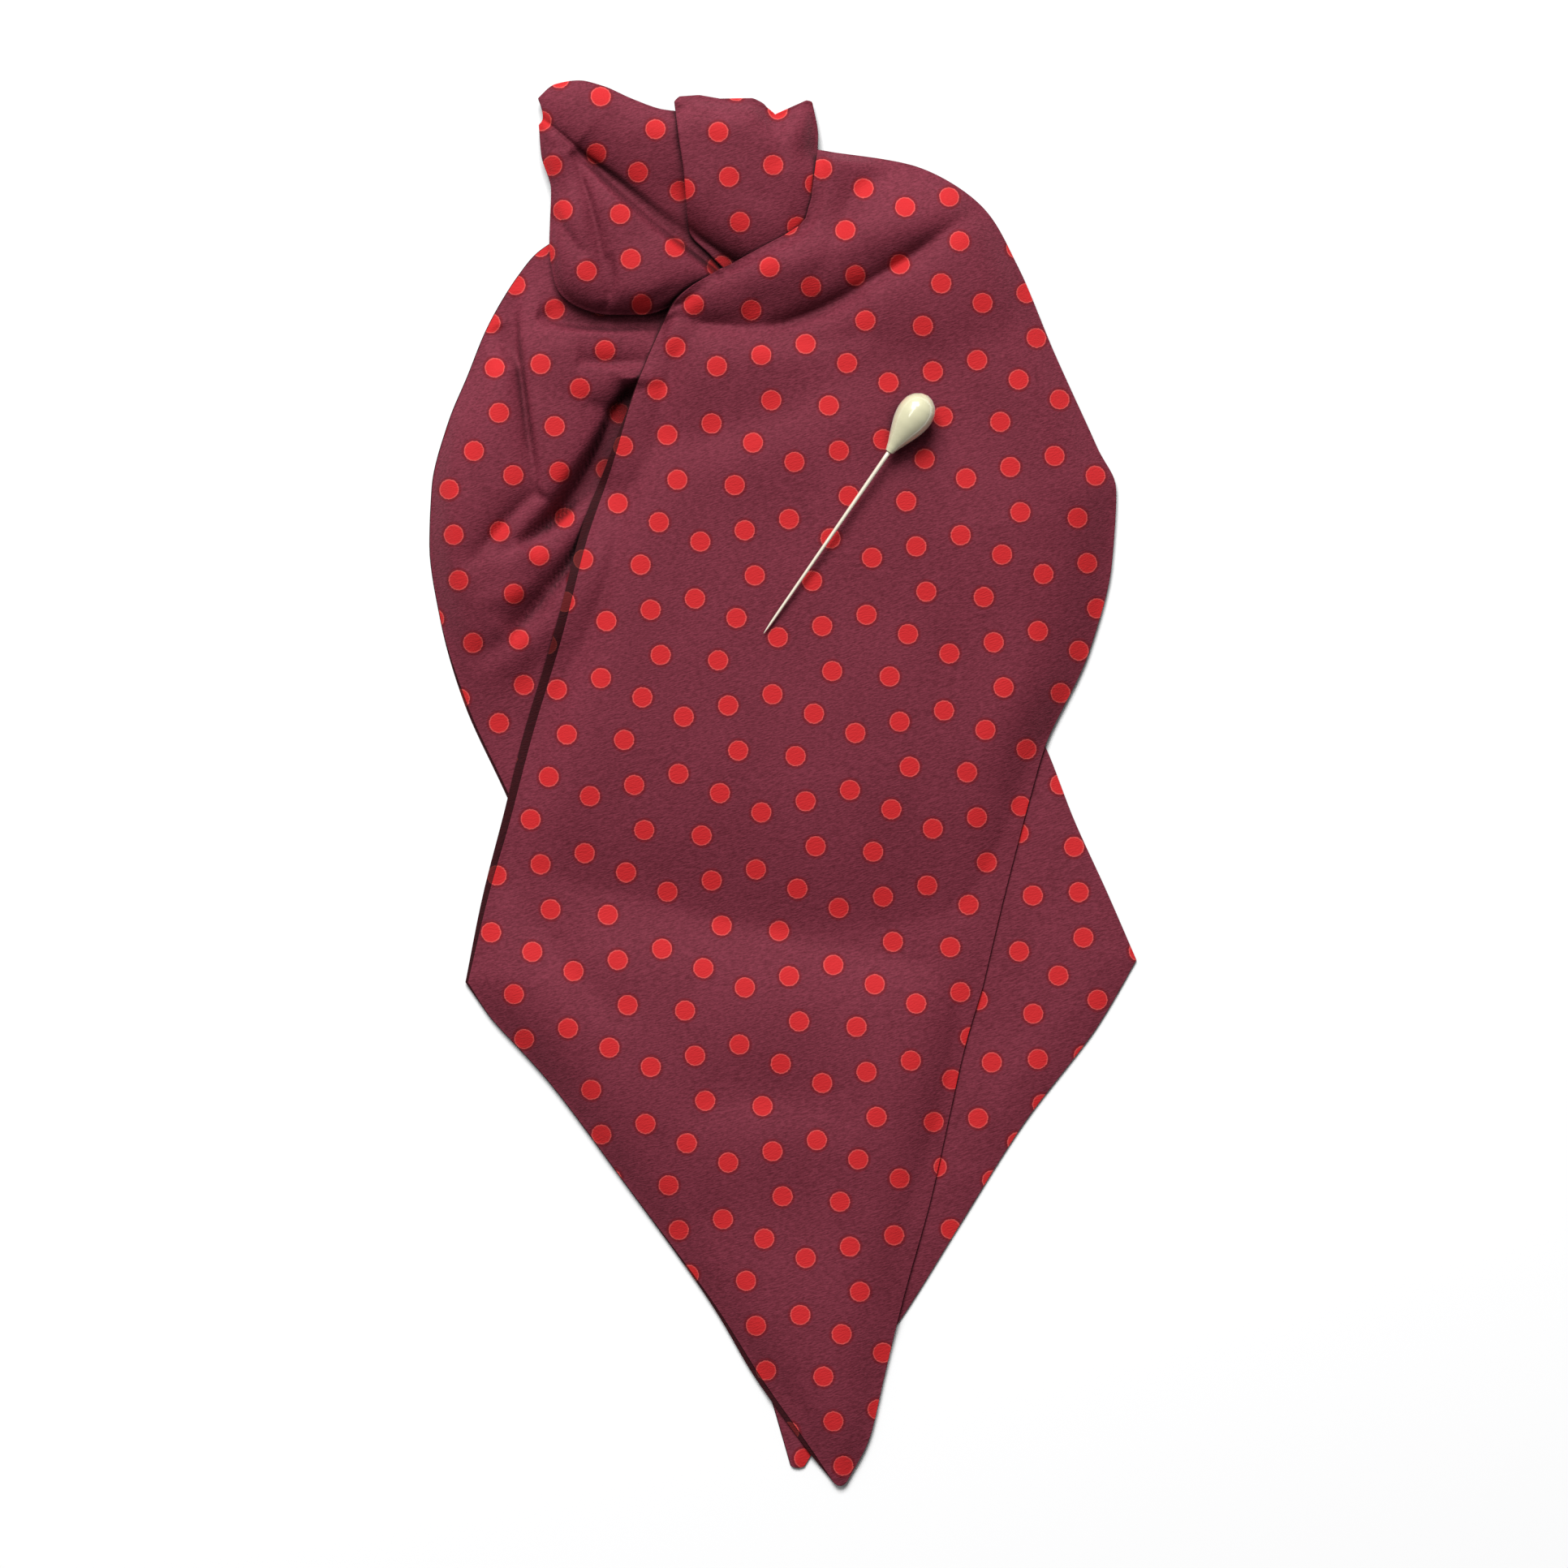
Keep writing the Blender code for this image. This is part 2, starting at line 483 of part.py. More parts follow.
def turned_solid(name, centres, radii, sides, axis, material):
    """A solid turned about a straight axis, with a pole at each end."""
    axis = np.asarray(axis) / np.linalg.norm(axis)
    level = np.cross(axis, (0, 0, 1))
    level /= np.linalg.norm(level)
    upright = np.cross(level, axis)
    angle = np.arange(sides) * 2 * math.pi / sides
    spokes = np.cos(angle)[:, None] * level + np.sin(angle)[:, None] * upright
    rings = [centre + radius * spokes for centre, radius in zip(centres[1:-1], radii)]
    points = np.concatenate([centres[:1], *rings, centres[-1:]])
    here = np.arange(sides)
    after = (here + 1) % sides
    triangles = [np.column_stack([np.zeros(sides, int), 1 + here, 1 + after])]
    for ring in range(len(rings) - 1):
        a, b = 1 + ring * sides, 1 + (ring + 1) * sides
        triangles.append(np.column_stack([a + here, b + here, b + after]))
        triangles.append(np.column_stack([a + here, b + after, a + after]))
    last = 1 + (len(rings) - 1) * sides
    triangles.append(np.column_stack([last + here, np.full(sides, len(points) - 1), last + after]))
    return new_object(name, points, np.concatenate(triangles), material, sharp=40)


def finish(name, colour, roughness, metallic=0.0):
    material = bpy.data.materials.new(name)
    material.use_nodes = True
    shader = material.node_tree.nodes["Principled BSDF"]
    shader.inputs["Base Color"].default_value = (*colour, 1)
    shader.inputs["Roughness"].default_value = roughness
    shader.inputs["Metallic"].default_value = metallic
    return material


def blade(name, sections, head, bottom, material, lining_material):
    """A bagged blade: a face wall, and below it the lining from the same points, which peeps out at the left."""
    x, y = plan_grid(sections, ACROSS[name], head)
    foot, steep = at(bottom, x, y), at(upright(bottom), x, y)
    cloth_wall(name, x, y, foot + (LINING_WALL + SEAM_GAP) * steep, foot + BAGGED_WALL * steep, material)
    x, y = plan_grid(sections, ACROSS[name], head, reveal=True)
    foot, steep = (np.column_stack([field[:, 0], field]) for field in (foot, steep))
    cloth_wall(f"{name}_lining", x, y, foot, foot + LINING_WALL * steep, lining_material)


def flat_lining(name, sections, material):
    """The under blade's lining lies flat, and is the face that the part rests on."""
    x, y = plan_grid(sections, (2, 0.5), reveal=True)
    cloth_wall(name, x, y, np.zeros_like(x), np.full_like(x, LINING_WALL), material)


def cloth_piece(name, sections, head, bottom, wall, material):
    x, y = plan_grid(sections, ACROSS[name], head)
    foot = at(bottom, x, y)
    cloth_wall(name, x, y, foot, foot + wall * at(upright(bottom), x, y), material)


def neckband(material):
    """The folded neckband: a stack of rounded layers, closed by a low crown."""
    ring = np.column_stack(NECKBAND_OUTLINE)
    tangent = np.roll(ring, -1, axis=0) - np.roll(ring, 1, axis=0)
    inward = np.column_stack([-tangent[:, 1], tangent[:, 0]]) / np.linalg.norm(tangent, axis=1)[:, None]
    levels = []
    for layer in range(NECKBAND_LAYERS):
        foot = layer * NECKBAND_LAYER
        levels += [(0.5, foot), (0.0, foot + 0.5 * NECKBAND_LAYER)]
    levels += [(0.5, NECKBAND_LAYERS * NECKBAND_LAYER), (4.0, NECKBAND_TOP)]
    points = [np.column_stack([ring + inset * inward, np.full(len(ring), z)]) for inset, z in levels]
    count = len(ring)
    here = np.arange(count)
    after = (here + 1) % count
    triangles = []
    for level in range(len(levels) - 1):
        a, b = level * count, (level + 1) * count
        triangles.append(np.column_stack([a + here, a + after, b + after]))
        triangles.append(np.column_stack([a + here, b + after, b + here]))
    for level, turn in ((0, -1), (len(levels) - 1, 1)):
        half = count // 2
        left, right = np.arange(half - 1), np.arange(1, half)
        far = count - 1 - left
        cap = np.concatenate([
            np.column_stack([left, right, count - 1 - right]),
            np.column_stack([left, count - 1 - right, far]),
        ])
        triangles.append(level * count + cap[:, ::turn])
    new_object("neckband", np.concatenate(points), np.concatenate(triangles), material)


def pin(cloth_top, shaft_material, head_material):
    """The pin rests on the cloth by its point and by the belly of its head, and its shaft clears what lies between."""
    radius = PIN_SHAFT_DIAMETER / 2
    point, neck = np.array(PIN_POINT), np.array(PIN_NECK)
    length = np.linalg.norm(neck - point)
    along = np.linspace(0, length + PIN_HEAD_LENGTH, 60)
    place = point + along[:, None] * (neck - point) / length
    surface = at(cloth_top, place[:, 0], place[:, 1])
    profile = table(PROFILE, PIN_HEAD_PROFILE)
    head_share = (along - length) / PIN_HEAD_LENGTH
    width = np.where(
        along < length,
        radius,
        np.interp(head_share, profile["along"], profile["radius"]) * PIN_HEAD_DIAMETER / 2,
    )
    needed = surface + width + 2 * SEAM_GAP
    slope = ((needed - needed[0])[1:] / along[1:]).max()
    start = np.array([*point, needed[0]])
    axis = np.array([*((neck - point) / length), slope])
    share = np.array([0, PIN_SHARP_LENGTH * 0.5, PIN_SHARP_LENGTH, length - SEAM_GAP, length - SEAM_GAP])
    turned_solid(
        "pin_shaft", start + share[:, None] * axis, [0.6 * radius, radius, radius], 12, axis, shaft_material
    )
    head_along = length + np.concatenate([[0], profile["along"], [1.0]]) * PIN_HEAD_LENGTH
    turned_solid(
        "pin_head",
        start + head_along[:, None] * axis,
        profile["radius"] * PIN_HEAD_DIAMETER / 2,
        PIN_SIDES,
        axis,
        head_material,
    )


def main():
    clear_scene()
    cloth = finish("burgundy spotted crepe", (0.178, 0.031, 0.047), 0.62)
    lining = finish("burgundy self lining", (0.032, 0.007, 0.008), 0.7)
    wire = finish("pin wire", (0.78, 0.72, 0.6), 0.3, 1.0)
    pearl = finish("imitation pearl", (0.83, 0.79, 0.66), 0.22)
    under_bottom = under_blade_bottom()
    under_top = under_bottom + FACE_WALL * upright(under_bottom)
    left_bottom = left_wrap_bottom(neckband_top(), under_top)
    left_top = left_bottom + WRAP_WALL * upright(left_bottom)
    centre_bottom = centre_wrap_bottom(neckband_top(), left_top)
    centre_top = centre_bottom + WRAP_WALL * upright(centre_bottom)
    front_bottom = front_blade_bottom(neckband_top(), under_top, left_top, centre_top)
    front_top = front_bottom + BAGGED_WALL * upright(front_bottom)
    flat_lining("under_blade_lining", UNDER, lining)
    cloth_piece("under_blade", UNDER, None, under_bottom, FACE_WALL, cloth)
    neckband(lining)
    cloth_piece("left_wrap", LEFT, None, left_bottom, WRAP_WALL, cloth)
    cloth_piece("centre_wrap", CENTRE, CENTRE_EDGE, centre_bottom, WRAP_WALL, cloth)
    blade("front_blade", FRONT, FRONT_EDGE, front_bottom, cloth, lining)
    pin(front_top, wire, pearl)


main()
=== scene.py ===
"""A plastron laid out flat on a pale table. Two pointed blades of spotted crepe cross below a soft knot, and
a pearl pin lies on the front one.

Lengths are in millimetres until a mesh is made. Seen from above, +X runs to the right and +Y up to the knot.
"""

import math

import bpy
import numpy as np
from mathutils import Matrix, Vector


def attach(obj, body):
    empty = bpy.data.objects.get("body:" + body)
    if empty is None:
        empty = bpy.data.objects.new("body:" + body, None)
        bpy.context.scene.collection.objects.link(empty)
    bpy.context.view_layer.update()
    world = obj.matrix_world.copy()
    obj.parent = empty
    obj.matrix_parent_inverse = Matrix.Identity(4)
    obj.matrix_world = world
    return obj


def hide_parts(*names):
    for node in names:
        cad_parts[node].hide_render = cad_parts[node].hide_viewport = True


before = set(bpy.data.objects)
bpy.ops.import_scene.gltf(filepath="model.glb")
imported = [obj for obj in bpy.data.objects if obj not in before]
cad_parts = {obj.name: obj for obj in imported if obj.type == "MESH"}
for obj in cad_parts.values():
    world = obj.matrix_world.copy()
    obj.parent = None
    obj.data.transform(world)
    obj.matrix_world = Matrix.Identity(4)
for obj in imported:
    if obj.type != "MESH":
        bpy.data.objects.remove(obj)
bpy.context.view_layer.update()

# The under blade's lining: the back cloth of the blade that lies below. It is cut from the same spotted
# crepe, seamed to the face round its edge and turned out, so it peeps out a little at the left, and the
# whole part rests on it. The plan is drawn from the picture's middle, and the part's own lies at PLAN_MIDDLE.
MM = 0.001
PLAN_MIDDLE = (-0.346, 0.253)
LINING_WALL = 0.22
LINING_EDGE = 0.11
LEAST_REVEAL = 0.2
REVEAL_FADE = 8.0
UNDER_LINING_GRID = 1.6

# A piece is drawn in sections from the knot down, each by its left end, middle and right end. The outline
# turns sharply at a corner, and the reveal is how far the lining shows past the face's left edge.
SECTION = ("left_x", "left_y", "middle_x", "middle_y", "right_x", "right_y", "corner", "reveal")
UNDER_SECTIONS = [
    (-50.5, 122.5, -35.5, 115.5, -18.0, 113.0, 1, 0.0),
    (-55.5, 119.0, -34.0, 109.5, -6.5, 105.5, 0, 0.0),
    (-60.0, 113.5, -32.0, 99.5, 4.5, 95.5, 0, 0.0),
    (-66.5, 102.5, -30.5, 86.5, 17.0, 81.0, 0, 0.0),
    (-71.0, 91.5, -29.5, 75.5, 26.0, 66.5, 0, 0.0),
    (-75.5, 80.5, -27.5, 63.0, 34.5, 52.0, 0, 0.0),
    (-79.0, 66.5, -25.5, 50.0, 42.5, 37.5, 0, 0.0),
    (-79.5, 53.5, -24.0, 37.5, 49.0, 26.0, 0, 0.0),
    (-77.0, 36.5, -19.5, 23.0, 53.5, 17.0, 0, 0.0),
    (-71.0, 17.5, -12.0, 8.5, 58.5, 8.5, 0, 0.5),
    (-62.0, -2.0, -1.0, -8.0, 65.0, -8.0, 0, 0.5),
    (-52.0, -24.5, 9.5, -24.5, 72.5, -24.5, 0, 0.0),
    (-45.5, -39.5, 17.0, -39.0, 79.0, -39.5, 1, 0.0),
    (-39.0, -54.5, 19.0, -54.0, 70.5, -54.0, 0, 0.0),
    (-29.0, -76.5, 14.5, -76.0, 53.5, -76.5, 0, 0.0),
    (-19.5, -99.5, 10.5, -99.5, 39.0, -99.5, 0, 0.0),
    (-11.0, -118.0, 8.0, -119.0, 27.5, -118.0, 0, 0.0),
    (-3.5, -136.0, 6.0, -136.0, 15.0, -136.0, 0, 0.0),
    (-0.5, -146.0, 4.0, -147.0, 8.5, -146.5, 0, 0.0),
    (1.5, -153.0, 3.0, -153.5, 4.5, -153.0, 0, 0.0),
]

SIDES = ("left", "middle", "right")
HEAD_ROWS = 2
CROWDING = 0.3
MOST_INSET = 0.35
MOST_OF_LAST_ROW = 0.4
EDGE_RINGS = 5
TINY = 1e-12


def table(columns, rows):
    """The rows as one array for each named column."""
    return dict(zip(columns, np.array(rows, dtype=float).T))


def smooth_rows(values, corner, at):
    """The cubic through the rows. A row's slope is the harmonic mean of the steps beside it, or 0 where
    they turn back, and at a corner each step keeps its own."""
    step = np.diff(values)
    before = np.concatenate([step[:1], step])
    after = np.concatenate([step, step[-1:]])
    same_way = before * after > 0
    mean = np.where(same_way, 2 * before * after / np.where(same_way, before + after, 1), 0)
    leaving = np.where(corner > 0, after, mean)
    arriving = np.where(corner > 0, before, mean)
    row = np.clip(at.astype(int), 0, len(values) - 2)
    t = at - row
    return (
        values[row] * (2 * t**3 - 3 * t**2 + 1)
        + leaving[row] * (t**3 - 2 * t**2 + t)
        + values[row + 1] * (3 * t**2 - 2 * t**3)
        + arriving[row + 1] * (t**3 - t**2)
    )


def through_three(first, middle, last, u):
    """The parabola that is at the first point at u = 0, the middle one at 0.5 and the last at 1."""
    return first * (2 * u**2 - 3 * u + 1) + middle * (4 * u - 4 * u**2) + last * (2 * u**2 - u)


def plan_grid(sections, spacing, edge=0.0, head=None, reveal=0.0):
    """x and y of a piece's points, about the spacing apart. The sections are smoothed down the piece, each
    is a parabola across with its points a little closer at both ends, and the head's outline is laid over
    the first one and fades out over the next two. The grid stops short of the outline by the edge, and the
    reveal's share moves the left side out."""
    last = len(sections["corner"]) - 1
    run = max(
        (np.hypot(np.diff(sections[f"{side}_x"]), np.diff(sections[f"{side}_y"])) for side in SIDES),
        key=np.sum,
    )
    steps = [np.linspace(row, row + 1, math.ceil(run[row] / spacing), endpoint=False) for row in range(last)]
    along = np.concatenate([*steps, [last]])
    along[0] = edge / run[0]
    along[-1] = last - min(MOST_OF_LAST_ROW, edge / run[-1])
    ends = {
        (side, axis): smooth_rows(sections[f"{side}_{axis}"], sections["corner"], along)[:, None]
        for side in SIDES
        for axis in "xy"
    }
    span = np.hypot(ends["right", "x"] - ends["left", "x"], ends["right", "y"] - ends["left", "y"])
    even = np.linspace(0, 1, math.ceil(span.max() / spacing) + 1)[None, :]
    crowded = (1 - CROWDING) * even + CROWDING / 2 * (1 - np.cos(math.pi * even))
    short = np.minimum(edge / span, MOST_INSET)
    across = short + (1 - 2 * short) * crowded
    x, y = (through_three(*(ends[side, axis] for side in SIDES), across) for axis in "xy")
    if head is not None:
        passed = np.concatenate([[0], np.cumsum(np.hypot(np.diff(head["x"]), np.diff(head["y"])))])
        first = np.concatenate([[0], np.cumsum(np.hypot(np.diff(x[0]), np.diff(y[0])))])
        share = first / first[-1] * passed[-1]
        fade = np.clip(1 - along / HEAD_ROWS, 0, 1)[:, None] ** 2
        x = x + fade * (np.interp(share, passed, head["x"]) - x[0])
        y = y + fade * (np.interp(share, passed, head["y"]) - y[0])
    if reveal:
        out = reveal * (LEAST_REVEAL + smooth_rows(sections["reveal"], sections["corner"], along))[:, None]
        away = np.hypot(x[:, :1] - x[:, 1:2], y[:, :1] - y[:, 1:2])
        fade = np.clip(1 - across * span / REVEAL_FADE, 0, 1)
        x = x + fade * out * (x[:, :1] - x[:, 1:2]) / away
        y = y + fade * out * (y[:, :1] - y[:, 1:2]) / away
    return x, y


def rim_of(grid):
    """The grid's values once round its outside, starting at the upper left and going down the left side."""
    return np.concatenate([grid[:-1, 0], grid[-1, :-1], grid[:0:-1, -1], grid[0, :0:-1]])


def shell_parts(x, y, bottom, top, edge):
    """The points and faces of a closed shell between two heights over one grid. Half-round rings close its
    edge: each stands out by the edge times the sine of its angle, and its height follows the cosine."""
    rows, columns = x.shape
    index = np.arange(rows * columns).reshape(rows, columns)
    corners = (index[:-1, :-1], index[1:, :-1], index[1:, 1:], index[:-1, 1:])
    upper = np.column_stack([corner.ravel() for corner in corners])
    rim_x, rim_y, rim_top, rim_bottom = (rim_of(grid) for grid in (x, y, top, bottom))
    tangent_x = np.roll(rim_x, -1) - np.roll(rim_x, 1)
    tangent_y = np.roll(rim_y, -1) - np.roll(rim_y, 1)
    length = np.maximum(np.hypot(tangent_x, tangent_y), TINY)
    angle = math.pi * np.arange(1, EDGE_RINGS + 1)[:, None] / (EDGE_RINGS + 1)
    ring_x = rim_x + edge * np.sin(angle) * tangent_y / length
    ring_y = rim_y - edge * np.sin(angle) * tangent_x / length
    ring_z = 0.5 * (rim_top + rim_bottom) + 0.5 * (rim_top - rim_bottom) * np.cos(angle)
    count, layer = len(rim_x), rows * columns
    rings = 2 * layer + np.arange(EDGE_RINGS * count).reshape(EDGE_RINGS, count)
    loops = np.vstack([rim_of(index), rings, layer + rim_of(index)])
    following = np.roll(loops, -1, axis=1)
    sides = np.stack([loops[:-1], loops[1:], following[1:], following[:-1]], axis=-1).reshape(-1, 4)
    points = np.concatenate([
        np.column_stack([x.ravel(), y.ravel(), top.ravel()]),
        np.column_stack([x.ravel(), y.ravel(), bottom.ravel()]),
        np.column_stack([ring_x.ravel(), ring_y.ravel(), ring_z.ravel()]),
    ])
    return points, np.concatenate([upper, upper[:, ::-1] + layer, sides])


def new_piece(name, points, faces, material, replaced, cloth_xy=None):
    """A smooth mesh piece that stands for CAD nodes and rides on the one body. A cloth piece gets a UV map
    that holds its own place in the cloth, in millimetres."""
    mesh = bpy.data.meshes.new(name)
    mesh.from_pydata(((points - (*PLAN_MIDDLE, 0)) * MM).tolist(), [], [list(face) for face in faces])
    mesh.materials.append(material)
    mesh.shade_smooth()
    if cloth_xy is not None:
        corner = np.empty(len(mesh.loops), dtype=np.int32)
        mesh.loops.foreach_get("vertex_index", corner)
        mesh.uv_layers.new(name="cloth").data.foreach_set("uv", cloth_xy[corner].astype(np.float32).ravel())
    piece = bpy.data.objects.new(name, mesh)
    bpy.context.scene.collection.objects.link(piece)
    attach(piece, "root")
    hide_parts(*replaced)
    return piece


def cloth_place(points, middle, turn):
    """Each point's place across and down the cloth's print. The print has its zero at the middle and is
    turned clockwise by so many degrees."""
    angle = math.radians(turn)
    cosine, sine = math.cos(angle), math.sin(angle)
    x, y = points[:, 0] - middle[0], points[:, 1] - middle[1]
    return np.column_stack([x * cosine - y * sine, -x * sine - y * cosine])


# Where the print's zero lies in the plan for each stretch of cloth, and the print's turn in degrees. The tail
# is below a line of this slope and start.
UNDER_PRINT = ((-62.182, 62.818), 103.7)
TAIL_PRINT = ((54.18, -31.27), 103.8)
SHIFT_SLOPE = 0.2
SHIFT_START = -2.0


def under_place(points):
    """The under blade's place in the print. It changes along a slanting line that the front blade hides,
    because the gathers above it take up cloth."""
    tail = (points[:, 1] < SHIFT_SLOPE * points[:, 0] + SHIFT_START)[:, None]
    return np.where(tail, cloth_place(points, *TAIL_PRINT), cloth_place(points, *UNDER_PRINT))


def paint(code):
    """A colour's linear values from its hex code, by the sRGB curve."""
    shares = [int(code[i : i + 2], 16) / 255 for i in (0, 2, 4)]
    return (*(s / 12.92 if s <= 0.04045 else ((s + 0.055) / 1.055) ** 2.4 for s in shares), 1)


def add_node(tree, kind, inputs=None, **settings):
    """A shader node of this kind with its settings. Each of its inputs gets a value, or a link from an
    output."""
    made = tree.nodes.new(f"ShaderNode{kind}")
    for name, value in settings.items():
        setattr(made, name, value)
    for key, value in (inputs or {}).items():
        if isinstance(value, bpy.types.NodeSocket):
            tree.links.new(value, made.inputs[key])
        else:
            made.inputs[key].default_value = value
    return made


def new_material(name, inputs):
    """A material whose principled shader has these inputs."""
    material = bpy.data.materials.new(name)
    material.use_nodes = True
    for key, value in inputs.items():
        material.node_tree.nodes["Principled BSDF"].inputs[key].default_value = value
    return material


# The print repeats in a rectangle of twelve spots. Folded over along its quarter lines, it has these three.
REPEAT_WIDTH = 38.545
REPEAT_LENGTH = 39.364
SPOT_DIAMETER = 4.5
SPOTS = [(6.4545, 0.0), (REPEAT_WIDTH / 4, REPEAT_LENGTH / 4), (REPEAT_WIDTH / 2, 6.409)]

# A spot's edge wanders by this much. Its colour, its pale rim and its bleed begin and are full at these
# distances outside the edge, and the bleed covers this share of the ground.
WANDER = 0.34
SPOT_FROM_FULL = (0.08, -0.08)
RIM_FROM_FULL = (-0.34, -0.12)
BLEED_FROM_FULL = (0.8, 0.3)
BLEED_STRENGTH = 0.65

# The thread floats are drawn about three times as coarse as real ones, so that they show. The other noises'
# scales are waves in each millimetre of cloth.
FLOAT_LENGTH = 1.15
FLOAT_WIDTH = 0.3
FLOAT_TURN = 17.0
WANDERS_PER_MM = 1.7
GRAINS_PER_MM = 2.2
CLOUDS_PER_MM = 0.05
GRAIN_SHARE = 0.5
CLOUD_SHARE = 0.3
MOTTLE_FROM, MOTTLE_FULL = 0.4, 1.4
RELIEF_HEIGHT = 0.2
RELIEF_STRENGTH = 0.5
# Painted shade in creases: the colour darkens towards this near-black red as the cloth's openness within this
# reach, in millimetres, falls from the first share to the second.
CREASE_SHADE_REACH = 10.0
CREASE_SHADE_FROM, CREASE_SHADE_FULL = 0.78, 0.3
CREASE_SHADE_COLOUR = "1c080c"


def spotted_crepe(name, ground, ground_dark, spot, spot_rim, bleed):
    """Polyester crepe with discharge-printed spots: matt, with short slanting thread floats that catch the
    light, a soft bloom at grazing angles, and spots with a slightly paler rim and a dark red bleed round
    them.
    It has painted shade too: its colour is darkened towards a near-black red in creases that are closed in."""
    material = new_material(name, {
        "Roughness": 0.75, "Specular IOR Level": 0.15,
        "Sheen Weight": 0.04, "Sheen Roughness": 0.4, "Sheen Tint": paint("d8a0ac"),
    })
    tree = material.node_tree

    eased = {"interpolation_type": "SMOOTHSTEP"}
    place = add_node(tree, "UVMap", uv_map="cloth").outputs[0]
    across, down = add_node(tree, "SeparateXYZ", {0: place}).outputs[:2]
    quarter_x = add_node(tree, "Math", {0: across, 1: REPEAT_WIDTH / 2}, operation="PINGPONG").outputs[0]
    quarter_y = add_node(tree, "Math", {0: down, 1: REPEAT_LENGTH / 2}, operation="PINGPONG").outputs[0]
    beyond = add_node(tree, "Math", {0: quarter_y, 1: REPEAT_LENGTH / 4}, operation="GREATER_THAN").outputs[0]
    turned = add_node(tree, "Math", {0: REPEAT_WIDTH / 2, 1: quarter_x}, operation="SUBTRACT").outputs[0]
    folded_x = add_node(tree, "Mix", {0: beyond, 2: quarter_x, 3: turned}).outputs[0]
    folded_y = add_node(tree, "Math", {0: down, 1: REPEAT_LENGTH / 4}, operation="PINGPONG").outputs[0]
    folded = add_node(tree, "CombineXYZ", {0: folded_x, 1: folded_y}).outputs[0]
    apart = [
        add_node(tree, "VectorMath", {0: folded, 1: (x, y, 0.0)}, operation="DISTANCE").outputs["Value"]
        for x, y in SPOTS
    ]
    nearest = apart[0]
    for other in apart[1:]:
        nearest = add_node(tree, "Math", {0: nearest, 1: other}, operation="MINIMUM").outputs[0]

    waves = add_node(tree, "TexNoise", {"Vector": place, "Scale": WANDERS_PER_MM, "Detail": 1.0}).outputs[0]
    ragged = add_node(tree, "Math", {0: waves, 1: WANDER, 2: nearest}, operation="MULTIPLY_ADD").outputs[0]
    radius = SPOT_DIAMETER / 2 + WANDER / 2
    in_spot, in_rim, in_bleed = (
        add_node(tree, "MapRange", {0: ragged, 1: radius + begins, 2: radius + full}, **eased).outputs[0]
        for begins, full in (SPOT_FROM_FULL, RIM_FROM_FULL, BLEED_FROM_FULL)
    )

    float_turn = (0.0, 0.0, math.radians(FLOAT_TURN))
    float_size = (FLOAT_LENGTH * MM, FLOAT_WIDTH * MM, MM)
    floats_at = {0: add_node(tree, "TexCoord").outputs["Object"], 2: float_turn, 3: float_size}
    in_floats = add_node(tree, "Mapping", floats_at, vector_type="TEXTURE").outputs[0]
    floats = add_node(tree, "TexNoise", {"Vector": in_floats, "Scale": 1.0, "Detail": 1.0}).outputs[0]
    grain = add_node(tree, "TexNoise", {"Vector": place, "Scale": GRAINS_PER_MM, "Detail": 2.0}).outputs[0]
    cloud = add_node(tree, "TexNoise", {"Vector": place, "Scale": CLOUDS_PER_MM, "Detail": 2.0}).outputs[0]
    weave = add_node(tree, "Math", {0: grain, 1: GRAIN_SHARE, 2: floats}, operation="MULTIPLY_ADD").outputs[0]
    mottle = add_node(tree, "Math", {0: cloud, 1: CLOUD_SHARE, 2: weave}, operation="MULTIPLY_ADD").outputs[0]
    pale = add_node(tree, "MapRange", {0: mottle, 1: MOTTLE_FROM, 2: MOTTLE_FULL}, **eased).outputs[0]

    # Painted shade: where little is open round the cloth within the reach, in its creases, the colour is
    # mixed towards a near-black red.
    open_sky = add_node(tree, "AmbientOcclusion", {"Distance": CREASE_SHADE_REACH * MM}, samples=8).outputs["AO"]
    closed = add_node(tree, "MapRange", {0: open_sky, 1: CREASE_SHADE_FROM, 2: CREASE_SHADE_FULL}, **eased).outputs[0]
    bled = add_node(tree, "Math", {0: in_bleed, 1: BLEED_STRENGTH}, operation="MULTIPLY").outputs[0]
    rim = {0: in_rim, 6: paint(spot), 7: paint(spot_rim)}
    printed = add_node(tree, "Mix", rim, data_type="RGBA").outputs[2]
    colour = paint(ground_dark)
    for share, over_it in (
        (pale, paint(ground)), (bled, paint(bleed)), (in_spot, printed), (closed, paint(CREASE_SHADE_COLOUR)),
    ):
        colour = add_node(tree, "Mix", {0: share, 6: colour, 7: over_it}, data_type="RGBA").outputs[2]
    relief = {"Height": weave, "Strength": RELIEF_STRENGTH, "Distance": RELIEF_HEIGHT * MM}
    shader = tree.nodes["Principled BSDF"]
    tree.links.new(colour, shader.inputs["Base Color"])
    tree.links.new(add_node(tree, "Bump", relief).outputs[0], shader.inputs["Normal"])
    return material


# The lining's colours are painted shade: the face cloth's own colours, darkened as they look in the shade
# below its edge.
shade_painted_crepe = spotted_crepe("spotted crepe painted in shade", "3a0810", "26050a", "5c1618", "682420", "300810")
UNDER = table(SECTION, UNDER_SECTIONS)
x, y = plan_grid(UNDER, UNDER_LINING_GRID, LINING_EDGE, reveal=1.0)
points, faces = shell_parts(x, y, np.zeros_like(x), np.full_like(x, LINING_WALL), LINING_EDGE)
# Where it peeps out at the left, it shows the crepe painted in shade.
under_lining = new_piece(
    "under_blade_back", points, faces, shade_painted_crepe, ["under_blade_lining"], under_place(points)
)

